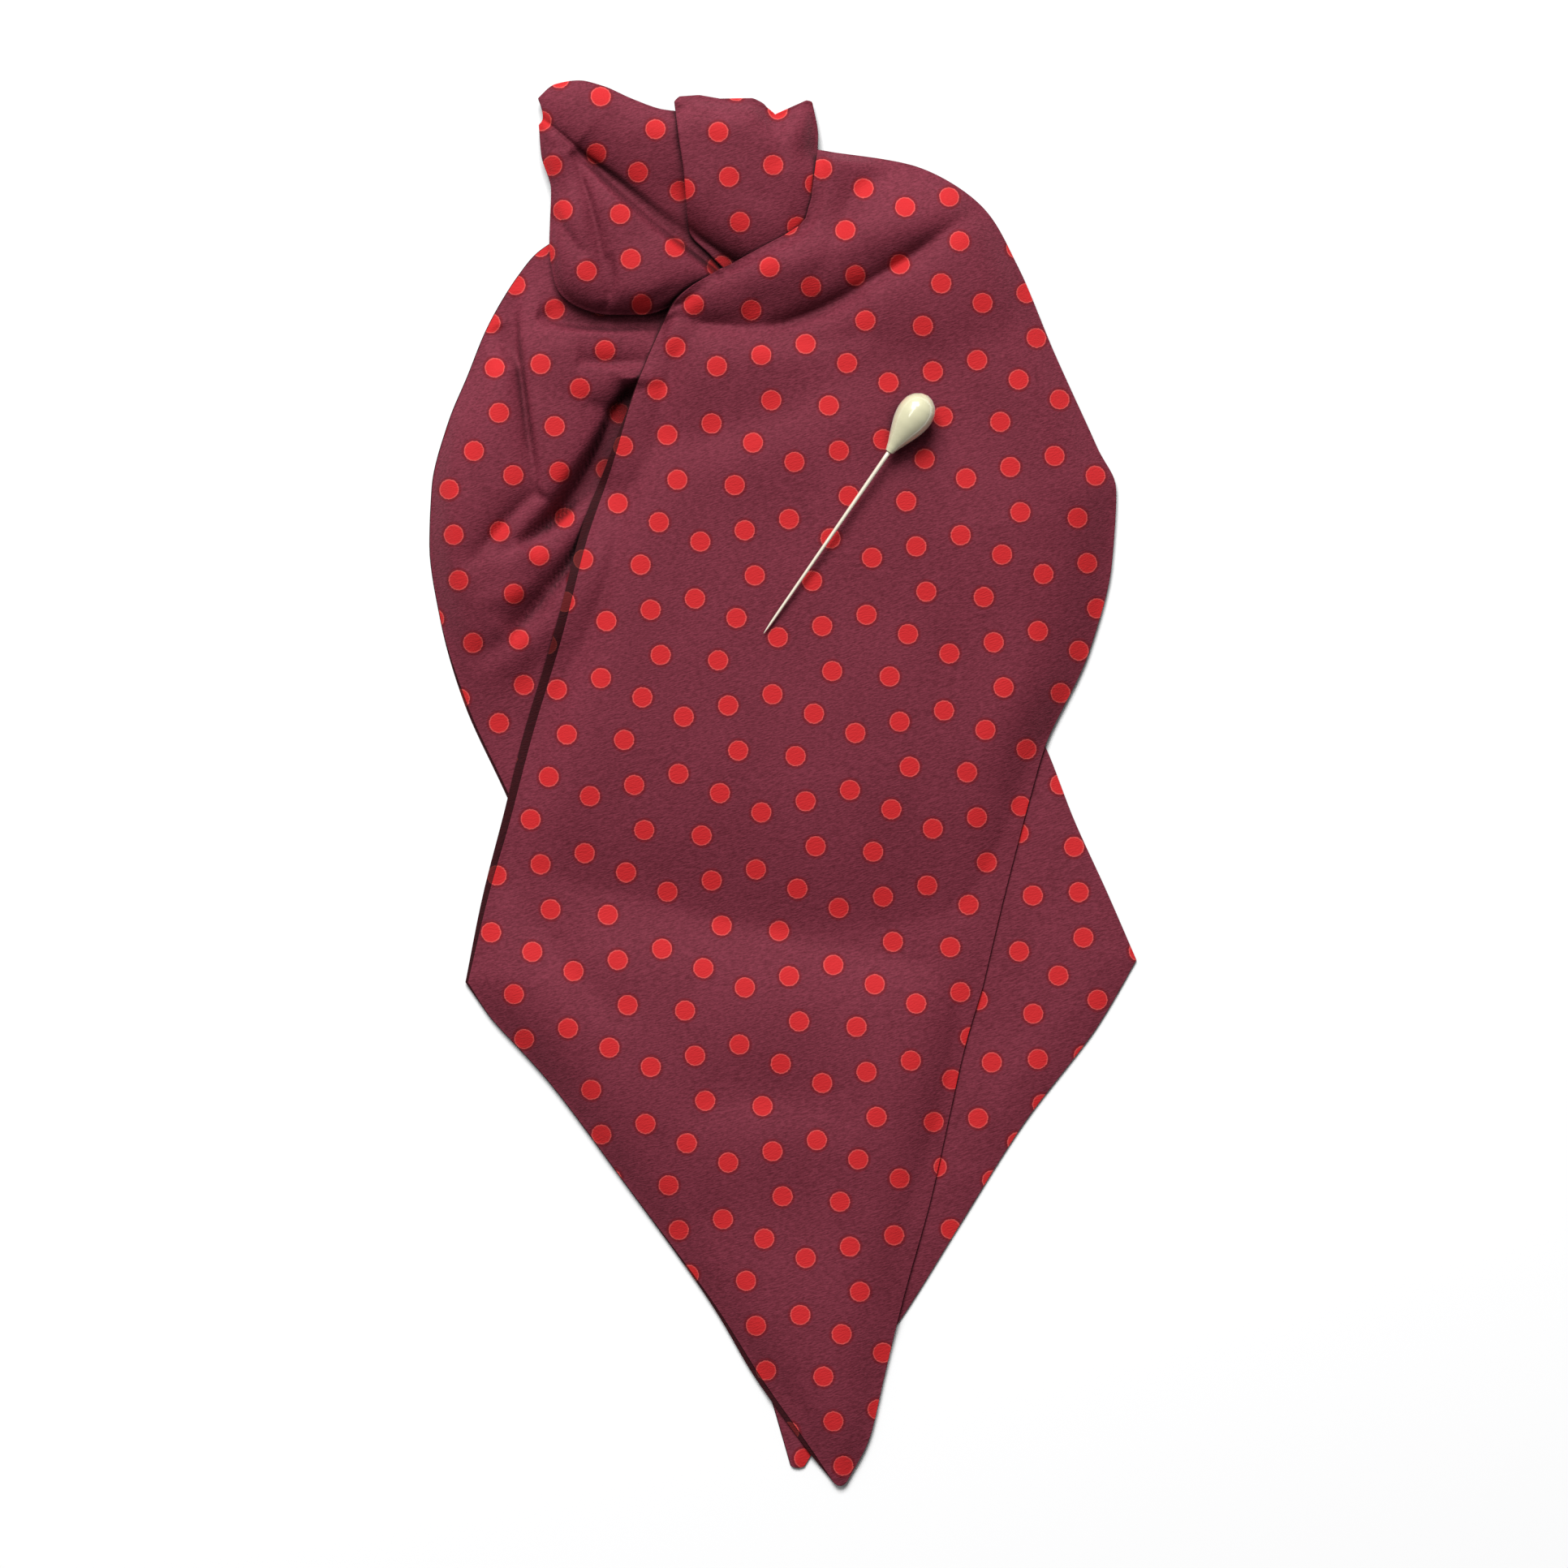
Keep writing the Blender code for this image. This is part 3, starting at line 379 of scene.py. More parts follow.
# The under blade's face: the blade that goes below, gathered at the left where it comes out from the knot,
# and lying smooth where it shows again at the lower right. Its edge is turned in and rounds over.
FACE_WALL = 0.22
FACE_EDGE = 0.11
PLUMP = 1.1
PLUMP_REACH = 9.0
BLADE_GRID = 1.0
TOUCH = 0.02
UNDER_RISE_EDGE = 8.0
UNDER_FOLD_EDGE = 3.0
UNDER_LIFT_BLEND = 0.3
HIDDEN_FADE = (2.0, 20.0)

# Heights are worked out on a fine lattice over the whole plan, and a piece's grid reads them from it.
LATTICE_STEP = 0.5
FARTHEST = 25.0
STEEPEST = 2.2
OUTLINE_STEP = 4.0
FOLD_STEPS = 15
FOLD_REACH = 4
FOLD_FADE = 0.6
BELL_REACH = 2.5
LATTICE_HALF_WIDTH = 95.0
LATTICE_HALF_LENGTH = 172.0
LATTICE_X, LATTICE_Y = np.meshgrid(
    np.arange(-LATTICE_HALF_WIDTH, LATTICE_HALF_WIDTH + LATTICE_STEP, LATTICE_STEP),
    np.arange(-LATTICE_HALF_LENGTH, LATTICE_HALF_LENGTH + LATTICE_STEP, LATTICE_STEP),
)

RISE = ("x", "y", "across", "along", "height")
FOLD = (
    "start_x", "start_y", "middle_x", "middle_y", "end_x", "end_y",
    "left_width", "right_width", "power", "height",
)
UNDER_RISES = [
    (-60.0, 64.0, 20.0, 32.0, 8.0),
    (-44.0, 94.0, 17.0, 9.0, 6.2),
]
UNDER_FOLDS = [
    (-34.0, 91.0, -40.0, 75.0, -59.0, 52.0, 4.0, 3.4, 2.2, -8.4),
    (-38.0, 68.0, -49.0, 48.0, -62.5, 33.5, 2.2, 4.2, 1.6, -5.6),
    (-47.0, 64.0, -55.0, 56.5, -66.0, 50.5, 1.6, 2.4, 1.6, -2.2),
    (-52.0, 41.5, -60.5, 33.5, -71.0, 27.5, 2.2, 2.6, 1.7, -1.8),
    (-54.0, 66.0, -61.5, 59.5, -71.0, 48.0, 2.0, 2.8, 1.5, -3.0),
    (-60.8, 110.0, -58.2, 87.0, -54.6, 63.0, 1.3, 3.4, 1.5, -3.6),
    (-63.5, 103.0, -62.5, 99.0, -61.0, 93.0, 2.8, 2.8, 2.0, -2.6),
    (-47.0, 94.8, -38.0, 94.0, -28.5, 94.8, 3.8, 1.2, 1.4, -2.6),
    (-56.0, 105.0, -40.0, 102.6, -23.0, 105.0, 3.2, 1.5, 1.5, -5.0),
    (-66.0, 96.0, -70.0, 80.0, -71.0, 64.0, 3.0, 3.0, 2.0, -0.8),
    (-70.0, 40.0, -62.0, 42.5, -55.0, 46.0, 2.0, 2.0, 2.0, 0.7),
    (-64.0, 20.0, -56.0, 26.0, -52.0, 34.0, 3.5, 3.5, 2.0, -0.9),
]


def nearest_on(path_x, path_y, reach=FARTHEST):
    """Over the lattice: the distance to an open path of straight steps, at most the reach, with the share
    of its steps passed there and whether the place lies to the left of the path."""
    near = np.full(LATTICE_X.shape, float(reach))
    passed = np.zeros(LATTICE_X.shape)
    left = np.zeros(LATTICE_X.shape, dtype=bool)
    for step, (ax, ay, bx, by) in enumerate(zip(path_x[:-1], path_y[:-1], path_x[1:], path_y[1:])):
        window = (
            slice(*np.searchsorted(LATTICE_Y[:, 0], (min(ay, by) - reach, max(ay, by) + reach))),
            slice(*np.searchsorted(LATTICE_X[0], (min(ax, bx) - reach, max(ax, bx) + reach))),
        )
        dx, dy = bx - ax, by - ay
        from_x, from_y = LATTICE_X[window] - ax, LATTICE_Y[window] - ay
        t = np.clip((from_x * dx + from_y * dy) / max(dx * dx + dy * dy, TINY), 0, 1)
        apart = np.hypot(from_x - t * dx, from_y - t * dy)
        closer = apart < near[window]
        near[window] = np.where(closer, apart, near[window])
        passed[window] = np.where(closer, step + t, passed[window])
        left[window] = np.where(closer, dx * from_y > dy * from_x, left[window])
    return near, passed / (len(path_x) - 1), left


def inside(ring_x, ring_y):
    """Over the lattice: the distance to a closed outline, positive inside it. A point is inside where a
    level line to its right crosses the outline an odd number of times."""
    ring_x, ring_y = np.append(ring_x, ring_x[0]), np.append(ring_y, ring_y[0])
    odd = np.zeros(LATTICE_X.shape, dtype=bool)
    level = LATTICE_Y[:, 0]
    for ax, ay, bx, by in zip(ring_x[:-1], ring_y[:-1], ring_x[1:], ring_y[1:]):
        spans = (ay > level) != (by > level)
        if spans.any():
            crossing = ax + (level[spans] - ay) * (bx - ax) / (by - ay)
            odd[spans] ^= crossing[:, None] > LATTICE_X[0]
    return np.where(odd, 1, -1) * nearest_on(ring_x, ring_y)[0]


def smooth_step(low, high, value):
    """0 up to the low limit, 1 from the high one, and 3 t squared less 2 t cubed of the share t between
    them."""
    t = np.clip((value - low) / (high - low), 0, 1)
    return t * t * (3 - 2 * t)


def rounded(distance, width):
    """0 at an edge and 1 a width inside it, along a parabola."""
    return 1 - (1 - np.clip(distance / width, 0, 1)) ** 2


def higher(a, b, softness=0.2):
    """The greater of two heights, with the corner between them rounded upwards: half of their sum and of
    the root of their difference squared plus the softness squared."""
    return 0.5 * (a + b + np.sqrt((a - b) ** 2 + softness**2))


def rises(rows):
    """Soft mounds, each its height times a flat-topped bell of the distance over its two half-widths. Where
    they meet the sixth root of the sum of their sixth powers joins them, which is close to the greatest."""
    total = np.zeros(LATTICE_X.shape)
    for row in rows:
        rise = dict(zip(RISE, row))
        across = (LATTICE_X - rise["x"]) / rise["across"]
        along = (LATTICE_Y - rise["y"]) / rise["along"]
        total += (rise["height"] * np.exp(-0.5 * (across**2 + along**2) ** 2)) ** 6
    return total ** (1 / 6)


def folds(rows):
    """Ridges and troughs along curved paths, which fade at both of their ends. Across the path each is the
    height times e to the minus power of the distance over that side's width: 2 is a bell, and near 1 is a
    sharp crease."""
    total = np.zeros(LATTICE_X.shape)
    u = np.linspace(0, 1, FOLD_STEPS)
    for row in rows:
        fold = dict(zip(FOLD, row))
        near, passed, left = nearest_on(
            through_three(fold["start_x"], fold["middle_x"], fold["end_x"], u),
            through_three(fold["start_y"], fold["middle_y"], fold["end_y"], u),
            FOLD_REACH * max(fold["left_width"], fold["right_width"]),
        )
        fade = np.sin(math.pi * np.clip(passed, 0, 1)) ** FOLD_FADE
        width = np.where(left, fold["left_width"], fold["right_width"])
        total += fold["height"] * fade * np.exp(-((near / width) ** fold["power"]))
    return total


def upright(field):
    """How much longer an upright cut through a wall is than the wall is thick: the root of 1 plus the slope
    squared, up to the steepest."""
    slope_y, slope_x = np.gradient(field, LATTICE_STEP)
    return np.minimum(np.sqrt(1 + slope_x**2 + slope_y**2), STEEPEST)


def soften(field, reach):
    """The field, averaged with a bell that many millimetres wide, first along y and then along x."""
    cells = math.ceil(BELL_REACH * reach / LATTICE_STEP)
    weight = np.exp(-0.5 * (np.arange(-cells, cells + 1) * LATTICE_STEP / reach) ** 2)
    for axis in (0, 1):
        field = sum(w * np.roll(field, i - cells, axis=axis) for i, w in enumerate(weight / weight.sum()))
    return field


def at(field, x, y):
    """A lattice's field at any place, mixed from the four points round it."""
    column = (x - LATTICE_X[0, 0]) / LATTICE_STEP
    row = (y - LATTICE_Y[0, 0]) / LATTICE_STEP
    i, j = row.astype(int), column.astype(int)
    v, u = row - i, column - j
    lower = field[i, j] * (1 - u) + field[i, j + 1] * u
    upper = field[i + 1, j] * (1 - u) + field[i + 1, j + 1] * u
    return lower * (1 - v) + upper * v


def outline_of(sections, head=None):
    """The closed outline of a piece, once round."""
    x, y = plan_grid(sections, OUTLINE_STEP, head=head)
    return rim_of(x), rim_of(y)


# The front blade's outline is here because the under blade's gathers flatten below it.
FRONT_SECTIONS = [
    (-20.5, 111.5, 2.0, 124.0, 7.5, 142.0, 0, 0.0),
    (-22.5, 110.0, 3.5, 118.5, 28.0, 139.0, 0, 0.0),
    (-24.5, 108.0, 3.5, 106.0, 44.5, 129.5, 0, 0.0),
    (-26.5, 104.5, 8.0, 95.5, 52.5, 116.0, 0, 0.0),
    (-29.5, 98.0, 11.5, 81.0, 60.5, 97.0, 0, 0.0),
    (-34.0, 86.5, 15.0, 66.5, 70.0, 76.0, 0, 0.0),
    (-38.5, 71.5, 13.5, 52.0, 74.5, 65.5, 0, 1.2),
    (-44.0, 55.5, 9.5, 37.5, 73.5, 49.5, 0, 1.8),
    (-49.5, 34.0, 3.5, 19.5, 68.5, 30.0, 0, 1.8),
    (-56.5, 11.0, -0.5, 1.0, 58.5, 8.5, 0, 1.8),
    (-61.5, -8.0, -4.0, -11.5, 55.0, -3.5, 0, 1.6),
    (-66.5, -25.5, -8.5, -28.0, 49.0, -26.5, 0, 1.1),
    (-71.0, -44.5, -13.0, -46.0, 44.5, -45.5, 1, 0.4),
    (-66.5, -51.5, -12.0, -59.0, 40.5, -59.0, 0, 0.0),
    (-53.0, -66.5, -6.5, -73.5, 37.0, -74.5, 0, 0.0),
    (-35.0, -90.5, 0.5, -93.5, 33.0, -92.5, 0, 0.0),
    (-15.5, -117.0, 7.0, -117.0, 26.5, -116.0, 0, 0.5),
    (-5.0, -133.5, 10.0, -133.5, 22.5, -132.5, 0, 1.2),
    (4.5, -147.0, 12.0, -147.0, 19.0, -147.0, 0, 1.0),
    (11.0, -156.5, 12.5, -157.5, 14.0, -156.5, 0, 0.3),
]
EDGE_POINT = ("x", "y")
FRONT_HEAD = [
    (-20.5, 111.5), (-16.0, 114.2), (-8.0, 118.5), (0.3, 122.9), (3.4, 124.9), (4.8, 126.5), (6.1, 131.1),
    (7.5, 142.0),
]
FRONT = table(SECTION, FRONT_SECTIONS)
FRONT_EDGE = table(EDGE_POINT, FRONT_HEAD)
FRONT_INSIDE = inside(*outline_of(FRONT, FRONT_EDGE))
UNDER_INSIDE = inside(*outline_of(UNDER))

gathers = rises(UNDER_RISES) * rounded(UNDER_INSIDE, UNDER_RISE_EDGE)
gathers = gathers + folds(UNDER_FOLDS) * rounded(UNDER_INSIDE, UNDER_FOLD_EDGE)
lift = higher(0, gathers * (1 - smooth_step(*HIDDEN_FADE, FRONT_INSIDE)), UNDER_LIFT_BLEND)
under_bottom = LINING_WALL + TOUCH + lift
under_top = under_bottom + (FACE_WALL + PLUMP * rounded(UNDER_INSIDE, PLUMP_REACH)) * upright(under_bottom)
spotted_cloth = spotted_crepe("burgundy spotted crepe", "7e3242", "541824", "be2428", "c84a48", "6c0c18")
x, y = plan_grid(UNDER, BLADE_GRID, FACE_EDGE)
points, faces = shell_parts(x, y, at(under_bottom, x, y), at(under_top, x, y), FACE_EDGE)
under_face = new_piece(
    "under_blade_face", points, faces, spotted_cloth, ["under_blade"], under_place(points)
)

# The neckband's folded length: three layers of the same crepe, pressed flat. It runs under the wraps and
# the front blade's roll, and the knot is built up over it.
NECKBAND_LAYERS = 3
NECKBAND_LAYER = 0.5
NECKBAND_EDGE = 0.5
NECKBAND_COLUMNS = 90
NECKBAND_ROWS = 26
SPAN = ("x", "lower_y", "upper_y")
NECKBAND_SPANS = [
    (-50.0, 138.0, 148.0),
    (-47.0, 136.0, 151.0),
    (-37.5, 130.5, 151.5),
    (-24.0, 121.0, 147.0),
    (-12.0, 112.5, 147.5),
    (2.0, 112.5, 147.0),
    (14.0, 115.0, 135.5),
    (29.0, 116.5, 133.5),
    (38.0, 118.0, 129.0),
    (42.0, 120.5, 125.0),
]
NECKBAND = table(SPAN, NECKBAND_SPANS)
NECKBAND_INSIDE = inside(
    np.concatenate([NECKBAND["x"], NECKBAND["x"][::-1]]),
    np.concatenate([NECKBAND["lower_y"], NECKBAND["upper_y"][::-1]]),
)
neckband_top = np.full(LATTICE_X.shape, NECKBAND_LAYERS * NECKBAND_LAYER)
band_from, band_to = NECKBAND["x"][0] + NECKBAND_EDGE, NECKBAND["x"][-1] - NECKBAND_EDGE
band_x = np.linspace(band_from, band_to, NECKBAND_COLUMNS)[None, :]
band_share = np.linspace(0, 1, NECKBAND_ROWS)[:, None]
band_low = np.interp(band_x, NECKBAND["x"], NECKBAND["lower_y"]) + NECKBAND_EDGE
band_high = np.interp(band_x, NECKBAND["x"], NECKBAND["upper_y"]) - NECKBAND_EDGE
y = band_high + band_share * (band_low - band_high)
x = np.broadcast_to(band_x, y.shape)
layers = []
for layer in range(NECKBAND_LAYERS):
    foot = np.full_like(y, layer * NECKBAND_LAYER)
    layers.append(shell_parts(x, y, foot, foot + NECKBAND_LAYER - TOUCH, NECKBAND_EDGE))
points = np.concatenate([part for part, _ in layers])
faces = np.concatenate([quads + i * len(layers[0][0]) for i, (_, quads) in enumerate(layers)])
# The band is coloured with the crepe painted in shade, like the linings.
band = new_piece(
    "neckband_fold", points, faces, shade_painted_crepe, ["neckband"], cloth_place(points, *UNDER_PRINT)
)

# The left wrap: the band of spotted crepe carried round the knot and pleated along sharp creases. Its outer
# edge rolls under, and its inner end goes down into the pit beside the front blade's roll.
WRAP_WALL = 0.9
WRAP_EDGE = 0.45
WRAP_GRID = 0.6
WRAP_ROLL = 7.0
WRAP_FOLD_EDGE = 2.0
ROLL_FULLNESS = 0.55
LEFT_EDGE_STEP = 2.0
LEFT_OPEN_SHARE = 0.62
DRAPE_GAP = 0.05
COVER_REACH = 1.0
LET_DOWN = (-5.0, -1.0)
MOUND_SOFTNESS = 0.8
CREASE_SOFTNESS = 0.25
TURNED_EDGE = 0.3
LEFT_SECTIONS = [
    (-55.0, 148.0, -54.0, 150.0, -55.4, 154.2, 0, 0.0),
    (-54.5, 141.0, -50.0, 146.5, -51.4, 157.3, 0, 0.0),
    (-52.3, 133.0, -45.0, 142.5, -46.4, 158.0, 0, 0.0),
    (-52.6, 125.5, -41.0, 138.5, -41.0, 156.7, 0, 0.0),
    (-52.8, 120.5, -36.5, 134.5, -34.5, 153.8, 0, 0.0),
    (-51.6, 112.0, -32.5, 130.5, -28.0, 151.4, 0, 0.0),
    (-48.4, 108.0, -29.0, 127.5, -21.0, 150.2, 0, 0.0),
    (-40.1, 105.1, -25.0, 124.0, -18.5, 140.0, 0, 0.0),
    (-32.1, 105.0, -21.0, 121.5, -16.5, 132.5, 0, 0.0),
    (-24.5, 107.3, -17.0, 118.5, -15.0, 126.5, 0, 0.0),
    (-18.0, 109.5, -13.5, 115.0, -12.5, 121.0, 0, 0.0),
    (-12.5, 109.5, -10.0, 112.5, -9.0, 116.5, 0, 0.0),
]
LEFT_RISES = [
    (-39.0, 119.0, 22.0, 18.0, 8.4),
    (-25.0, 113.0, 14.0, 11.0, 8.6),
    (-37.0, 144.0, 22.0, 16.0, 6.6),
]
LEFT_FOLDS = [
    (-56.0, 151.0, -39.0, 135.8, -20.0, 119.5, 1.8, 0.8, 1.2, -2.8),
    (-48.0, 142.0, -21.5, 119.8, 6.0, 100.0, 7.5, 1.0, 1.2, -6.8),
    (-48.0, 141.5, -42.6, 127.0, -39.8, 109.0, 1.6, 2.6, 1.4, -2.6),
    (-39.2, 119.0, -38.2, 112.5, -41.0, 105.5, 0.9, 1.6, 1.4, -1.8),
    (-51.5, 129.0, -48.1, 123.0, -44.5, 117.5, 1.3, 2.1, 1.4, -1.6),
    (-53.5, 143.0, -48.0, 141.5, -44.0, 136.0, 1.6, 1.6, 2.0, -0.6),
    (-36.0, 106.5, -30.0, 108.5, -24.0, 112.0, 1.7, 1.7, 2.0, -0.6),
    (-47.0, 152.0, -40.0, 150.0, -33.0, 146.0, 2.5, 2.5, 2.0, -0.5),
]
WRAP_PRINT = ((-43.182, 128.0), 4.5)


def spread(field):
    """The greatest height within a short reach all round, so that a drape clears what lies below."""
    cells = int(COVER_REACH / LATTICE_STEP)
    steps = range(-cells, cells + 1)
    near = [(i, j) for i in steps for j in steps if i * i + j * j <= cells**2 + 1]
    highest = field
    for shift in near:
        highest = np.maximum(highest, np.roll(field, shift, axis=(0, 1)))
    return highest


def draped(below, mounds, creases):
    """The underside of a drape: the higher of what lies below and its own mounds, softened, and then
    creased as far down as what lies below allows."""
    smooth = soften(higher(below, mounds), MOUND_SOFTNESS)
    return soften(higher(below, smooth + creases), CREASE_SOFTNESS)


def over(*laid):
    """The lowest a drape may lie over pieces that are given by their tops and the distances inside their
    outlines: the highest top and a gap, let down to the surface just outside each piece's edge."""
    lowest = [(spread(top) + DRAPE_GAP) * smooth_step(*LET_DOWN, distance) for top, distance in laid]
    return np.max(lowest, axis=0)


LEFT = table(SECTION, LEFT_SECTIONS)
LEFT_INSIDE = inside(*outline_of(LEFT))

# The wrap is full up to its open edge only: the left side, and the right one as far as the centre wrap.
x, y = plan_grid(LEFT, LEFT_EDGE_STEP)
shown = int(len(x) * LEFT_OPEN_SHARE)
left_edge = nearest_on(*(np.concatenate([grid[::-1, 0], grid[:shown, -1]]) for grid in (x, y)))[0]
below = np.maximum(over((neckband_top, NECKBAND_INSIDE), (under_top, UNDER_INSIDE)), TURNED_EDGE)
mounds = rises(LEFT_RISES) * rounded(left_edge, WRAP_ROLL) ** ROLL_FULLNESS
left_bottom = draped(below, mounds, folds(LEFT_FOLDS) * rounded(left_edge, WRAP_FOLD_EDGE))
left_top = left_bottom + WRAP_WALL * upright(left_bottom)
x, y = plan_grid(LEFT, WRAP_GRID, WRAP_EDGE)
points, faces = shell_parts(x, y, at(left_bottom, x, y), at(left_top, x, y), WRAP_EDGE)
left_wrap = new_piece(
    "left_wrap_cloth", points, faces, spotted_cloth, ["left_wrap"],
    cloth_place(points, *WRAP_PRINT),
)

# The centre wrap: the second turn of the band, lying over the left one. Its upper edge is stepped where the
# cloth doubles back, and its lower end goes under the front blade's roll.
CENTRE_EDGE_STEP = 1.5
CENTRE_OPEN_FROM = 142.0
CENTRE_SECTIONS = [
    (-24.1, 152.5, -9.5, 153.9, 5.9, 152.9, 0, 0.0),
    (-23.5, 144.5, -8.0, 145.5, 7.5, 145.0, 0, 0.0),
    (-22.5, 136.5, -7.5, 137.0, 7.2, 137.0, 0, 0.0),
    (-22.0, 129.5, -7.5, 130.0, 6.2, 130.0, 0, 0.0),
    (-21.5, 124.0, -8.0, 124.0, 4.5, 124.0, 0, 0.0),
    (-17.0, 119.0, -7.0, 118.5, 3.0, 118.5, 0, 0.0),
    (-12.0, 114.0, -5.0, 113.5, 2.0, 114.0, 0, 0.0),
]
CENTRE_HEAD = [
    (-24.3, 152.8), (-23.5, 153.8), (-19.2, 154.2), (-14.5, 153.3), (-7.0, 153.4), (-4.8, 152.2),
    (-4.5, 151.6), (-2.1, 149.5), (5.1, 153.0), (5.9, 152.7),
]
CENTRE_RISES = [
    (-10.0, 140.0, 20.0, 24.0, 9.0),
]
CENTRE_FOLDS = [
    (-2.1, 150.0, -1.0, 144.0, -1.5, 137.0, 2.2, 2.2, 1.6, -0.9),
    (-44.0, 137.0, -18.5, 117.0, 8.0, 97.0, 6.0, 3.0, 2.0, -6.6),
    (-19.0, 150.0, -18.0, 143.0, -19.5, 135.0, 2.0, 2.0, 2.0, -0.4),
    (-10.0, 137.0, -6.0, 132.0, 1.0, 130.0, 2.8, 2.8, 2.0, -0.4),
]
CENTRE_PRINT = ((-3.545, 125.2), 4.5)
CENTRE = table(SECTION, CENTRE_SECTIONS)
CENTRE_EDGE = table(EDGE_POINT, CENTRE_HEAD)
CENTRE_INSIDE = inside(*outline_of(CENTRE, CENTRE_EDGE))

# Its open edge is the upper one, and the right one down to the front blade.
x, y = plan_grid(CENTRE, CENTRE_EDGE_STEP, head=CENTRE_EDGE)
shown = y[:, -1] > CENTRE_OPEN_FROM
centre_edge = nearest_on(*(np.concatenate([grid[0], grid[shown, -1]]) for grid in (x, y)))[0]
below = np.maximum(over((neckband_top, NECKBAND_INSIDE), (left_top, LEFT_INSIDE)), TURNED_EDGE)
mounds = rises(CENTRE_RISES) * rounded(centre_edge, WRAP_ROLL)
centre_bottom = draped(below, mounds, folds(CENTRE_FOLDS) * rounded(centre_edge, WRAP_FOLD_EDGE))
centre_top = centre_bottom + WRAP_WALL * upright(centre_bottom)
x, y = plan_grid(CENTRE, WRAP_GRID, WRAP_EDGE, head=CENTRE_EDGE)
points, faces = shell_parts(x, y, at(centre_bottom, x, y), at(centre_top, x, y), WRAP_EDGE)
centre_wrap = new_piece(
    "centre_wrap_cloth", points, faces, spotted_cloth, ["centre_wrap"],
    cloth_place(points, *CENTRE_PRINT),
)

# The front blade: crepe face and lining, seamed round the edge and turned out, carried over the knot in a
# full roll and down to its point. The lining peeps out at the left as a strip painted dark with shade, and
# the cloth sags below the roll.
FRONT_LINING_GRID = 1.5
KNOT_TOP = 8.6
KNOT_SLOPE = 24.0
KNOT_MARGIN = 1.0
KNOT_EDGE = 3.0
KNOT_BLEND = 1.0
FRONT_RISE_EDGE = 14.0
FRONT_FOLD_EDGE = 4.0
FRONT_RISES = [
    (29.0, 117.0, 26.0, 22.0, 9.5),
    (-1.0, 92.0, 34.0, 30.0, 8.4),
    (36.0, 74.0, 36.0, 42.0, 8.0),
    (-6.0, 34.0, 64.0, 68.0, 7.6),
    (-10.0, -62.0, 62.0, 34.0, 5.6),
    (6.0, -105.0, 26.0, 50.0, 4.2),
]
FRONT_FOLDS = [
    (-21.0, 111.5, 10.0, 119.5, 42.0, 130.0, 4.5, 4.5, 2.0, 1.8),
    (-32.0, 108.5, -7.0, 102.4, 18.0, 111.0, 4.6, 3.6, 1.6, -3.5),
    (-4.0, 101.5, 20.0, 113.0, 46.0, 131.5, 2.8, 2.8, 1.6, -2.8),
    (-12.5, 99.5, 4.0, 98.5, 22.0, 101.5, 3.2, 2.4, 2.0, -0.8),
    (-37.0, 79.5, -14.0, 79.5, 19.0, 94.5, 9.0, 6.0, 2.0, -1.6),
    (20.0, 99.0, 36.0, 84.0, 44.0, 58.0, 12.0, 8.0, 2.0, -1.2),
    (58.0, 52.0, 54.0, 24.0, 44.0, 0.0, 8.0, 8.0, 2.0, 0.7),
    (-84.0, -9.0, -10.0, -31.0, 72.0, -43.0, 19.0, 9.0, 1.5, -3.2),
    (-60.0, -18.0, -51.5, -38.0, -33.0, -54.0, 5.5, 4.0, 2.0, -1.3),
    (-24.0, -73.5, -3.0, -70.0, 18.0, -75.5, 8.0, 6.0, 2.0, -1.2),
    (-46.0, -63.0, -20.0, -92.0, -3.0, -120.0, 4.5, 4.5, 2.0, -0.5),
    (13.0, -96.0, 18.0, -116.0, 19.0, -138.0, 4.5, 4.5, 2.0, -0.6),
]
FRONT_PRINT = ((-17.545, 67.455), 5.4)

# The upper left edge is held up here, where it bridges the under blade's valley.
HELD_RISES = [
    (-36.0, 86.0, 10.0, 20.0, 7.0),
]
HELD_BLEND = 0.6
below = over(
    (neckband_top, NECKBAND_INSIDE), (under_top, UNDER_INSIDE),
    (left_top, LEFT_INSIDE), (centre_top, CENTRE_INSIDE),
)
wraps_inside = np.maximum(LEFT_INSIDE, CENTRE_INSIDE)
knot = KNOT_TOP * smooth_step(-KNOT_SLOPE, -KNOT_MARGIN, wraps_inside) * rounded(FRONT_INSIDE, KNOT_EDGE)
mounds = higher(knot, rises(FRONT_RISES) * rounded(FRONT_INSIDE, FRONT_RISE_EDGE), KNOT_BLEND)
mounds = higher(mounds, rises(HELD_RISES), HELD_BLEND)
front_bottom = draped(below, mounds, folds(FRONT_FOLDS) * rounded(FRONT_INSIDE, FRONT_FOLD_EDGE))
front_slope = upright(front_bottom)
x, y = plan_grid(FRONT, FRONT_LINING_GRID, LINING_EDGE, FRONT_EDGE, reveal=1.0)
foot, steep = at(front_bottom, x, y), at(front_slope, x, y)
points, faces = shell_parts(x, y, foot, foot + LINING_WALL * steep, LINING_EDGE)
front_lining = new_piece(
    "front_blade_back", points, faces, shade_painted_crepe, ["front_blade_lining"],
    cloth_place(points, *FRONT_PRINT),
)
face_foot = front_bottom + (LINING_WALL + TOUCH) * front_slope
front_top = face_foot + (FACE_WALL + PLUMP * rounded(FRONT_INSIDE, PLUMP_REACH)) * front_slope
x, y = plan_grid(FRONT, BLADE_GRID, FACE_EDGE, FRONT_EDGE)
points, faces = shell_parts(x, y, at(face_foot, x, y), at(front_top, x, y), FACE_EDGE)
front_face = new_piece(
    "front_blade_face", points, faces, spotted_cloth, ["front_blade"],
    cloth_place(points, *FRONT_PRINT),
)

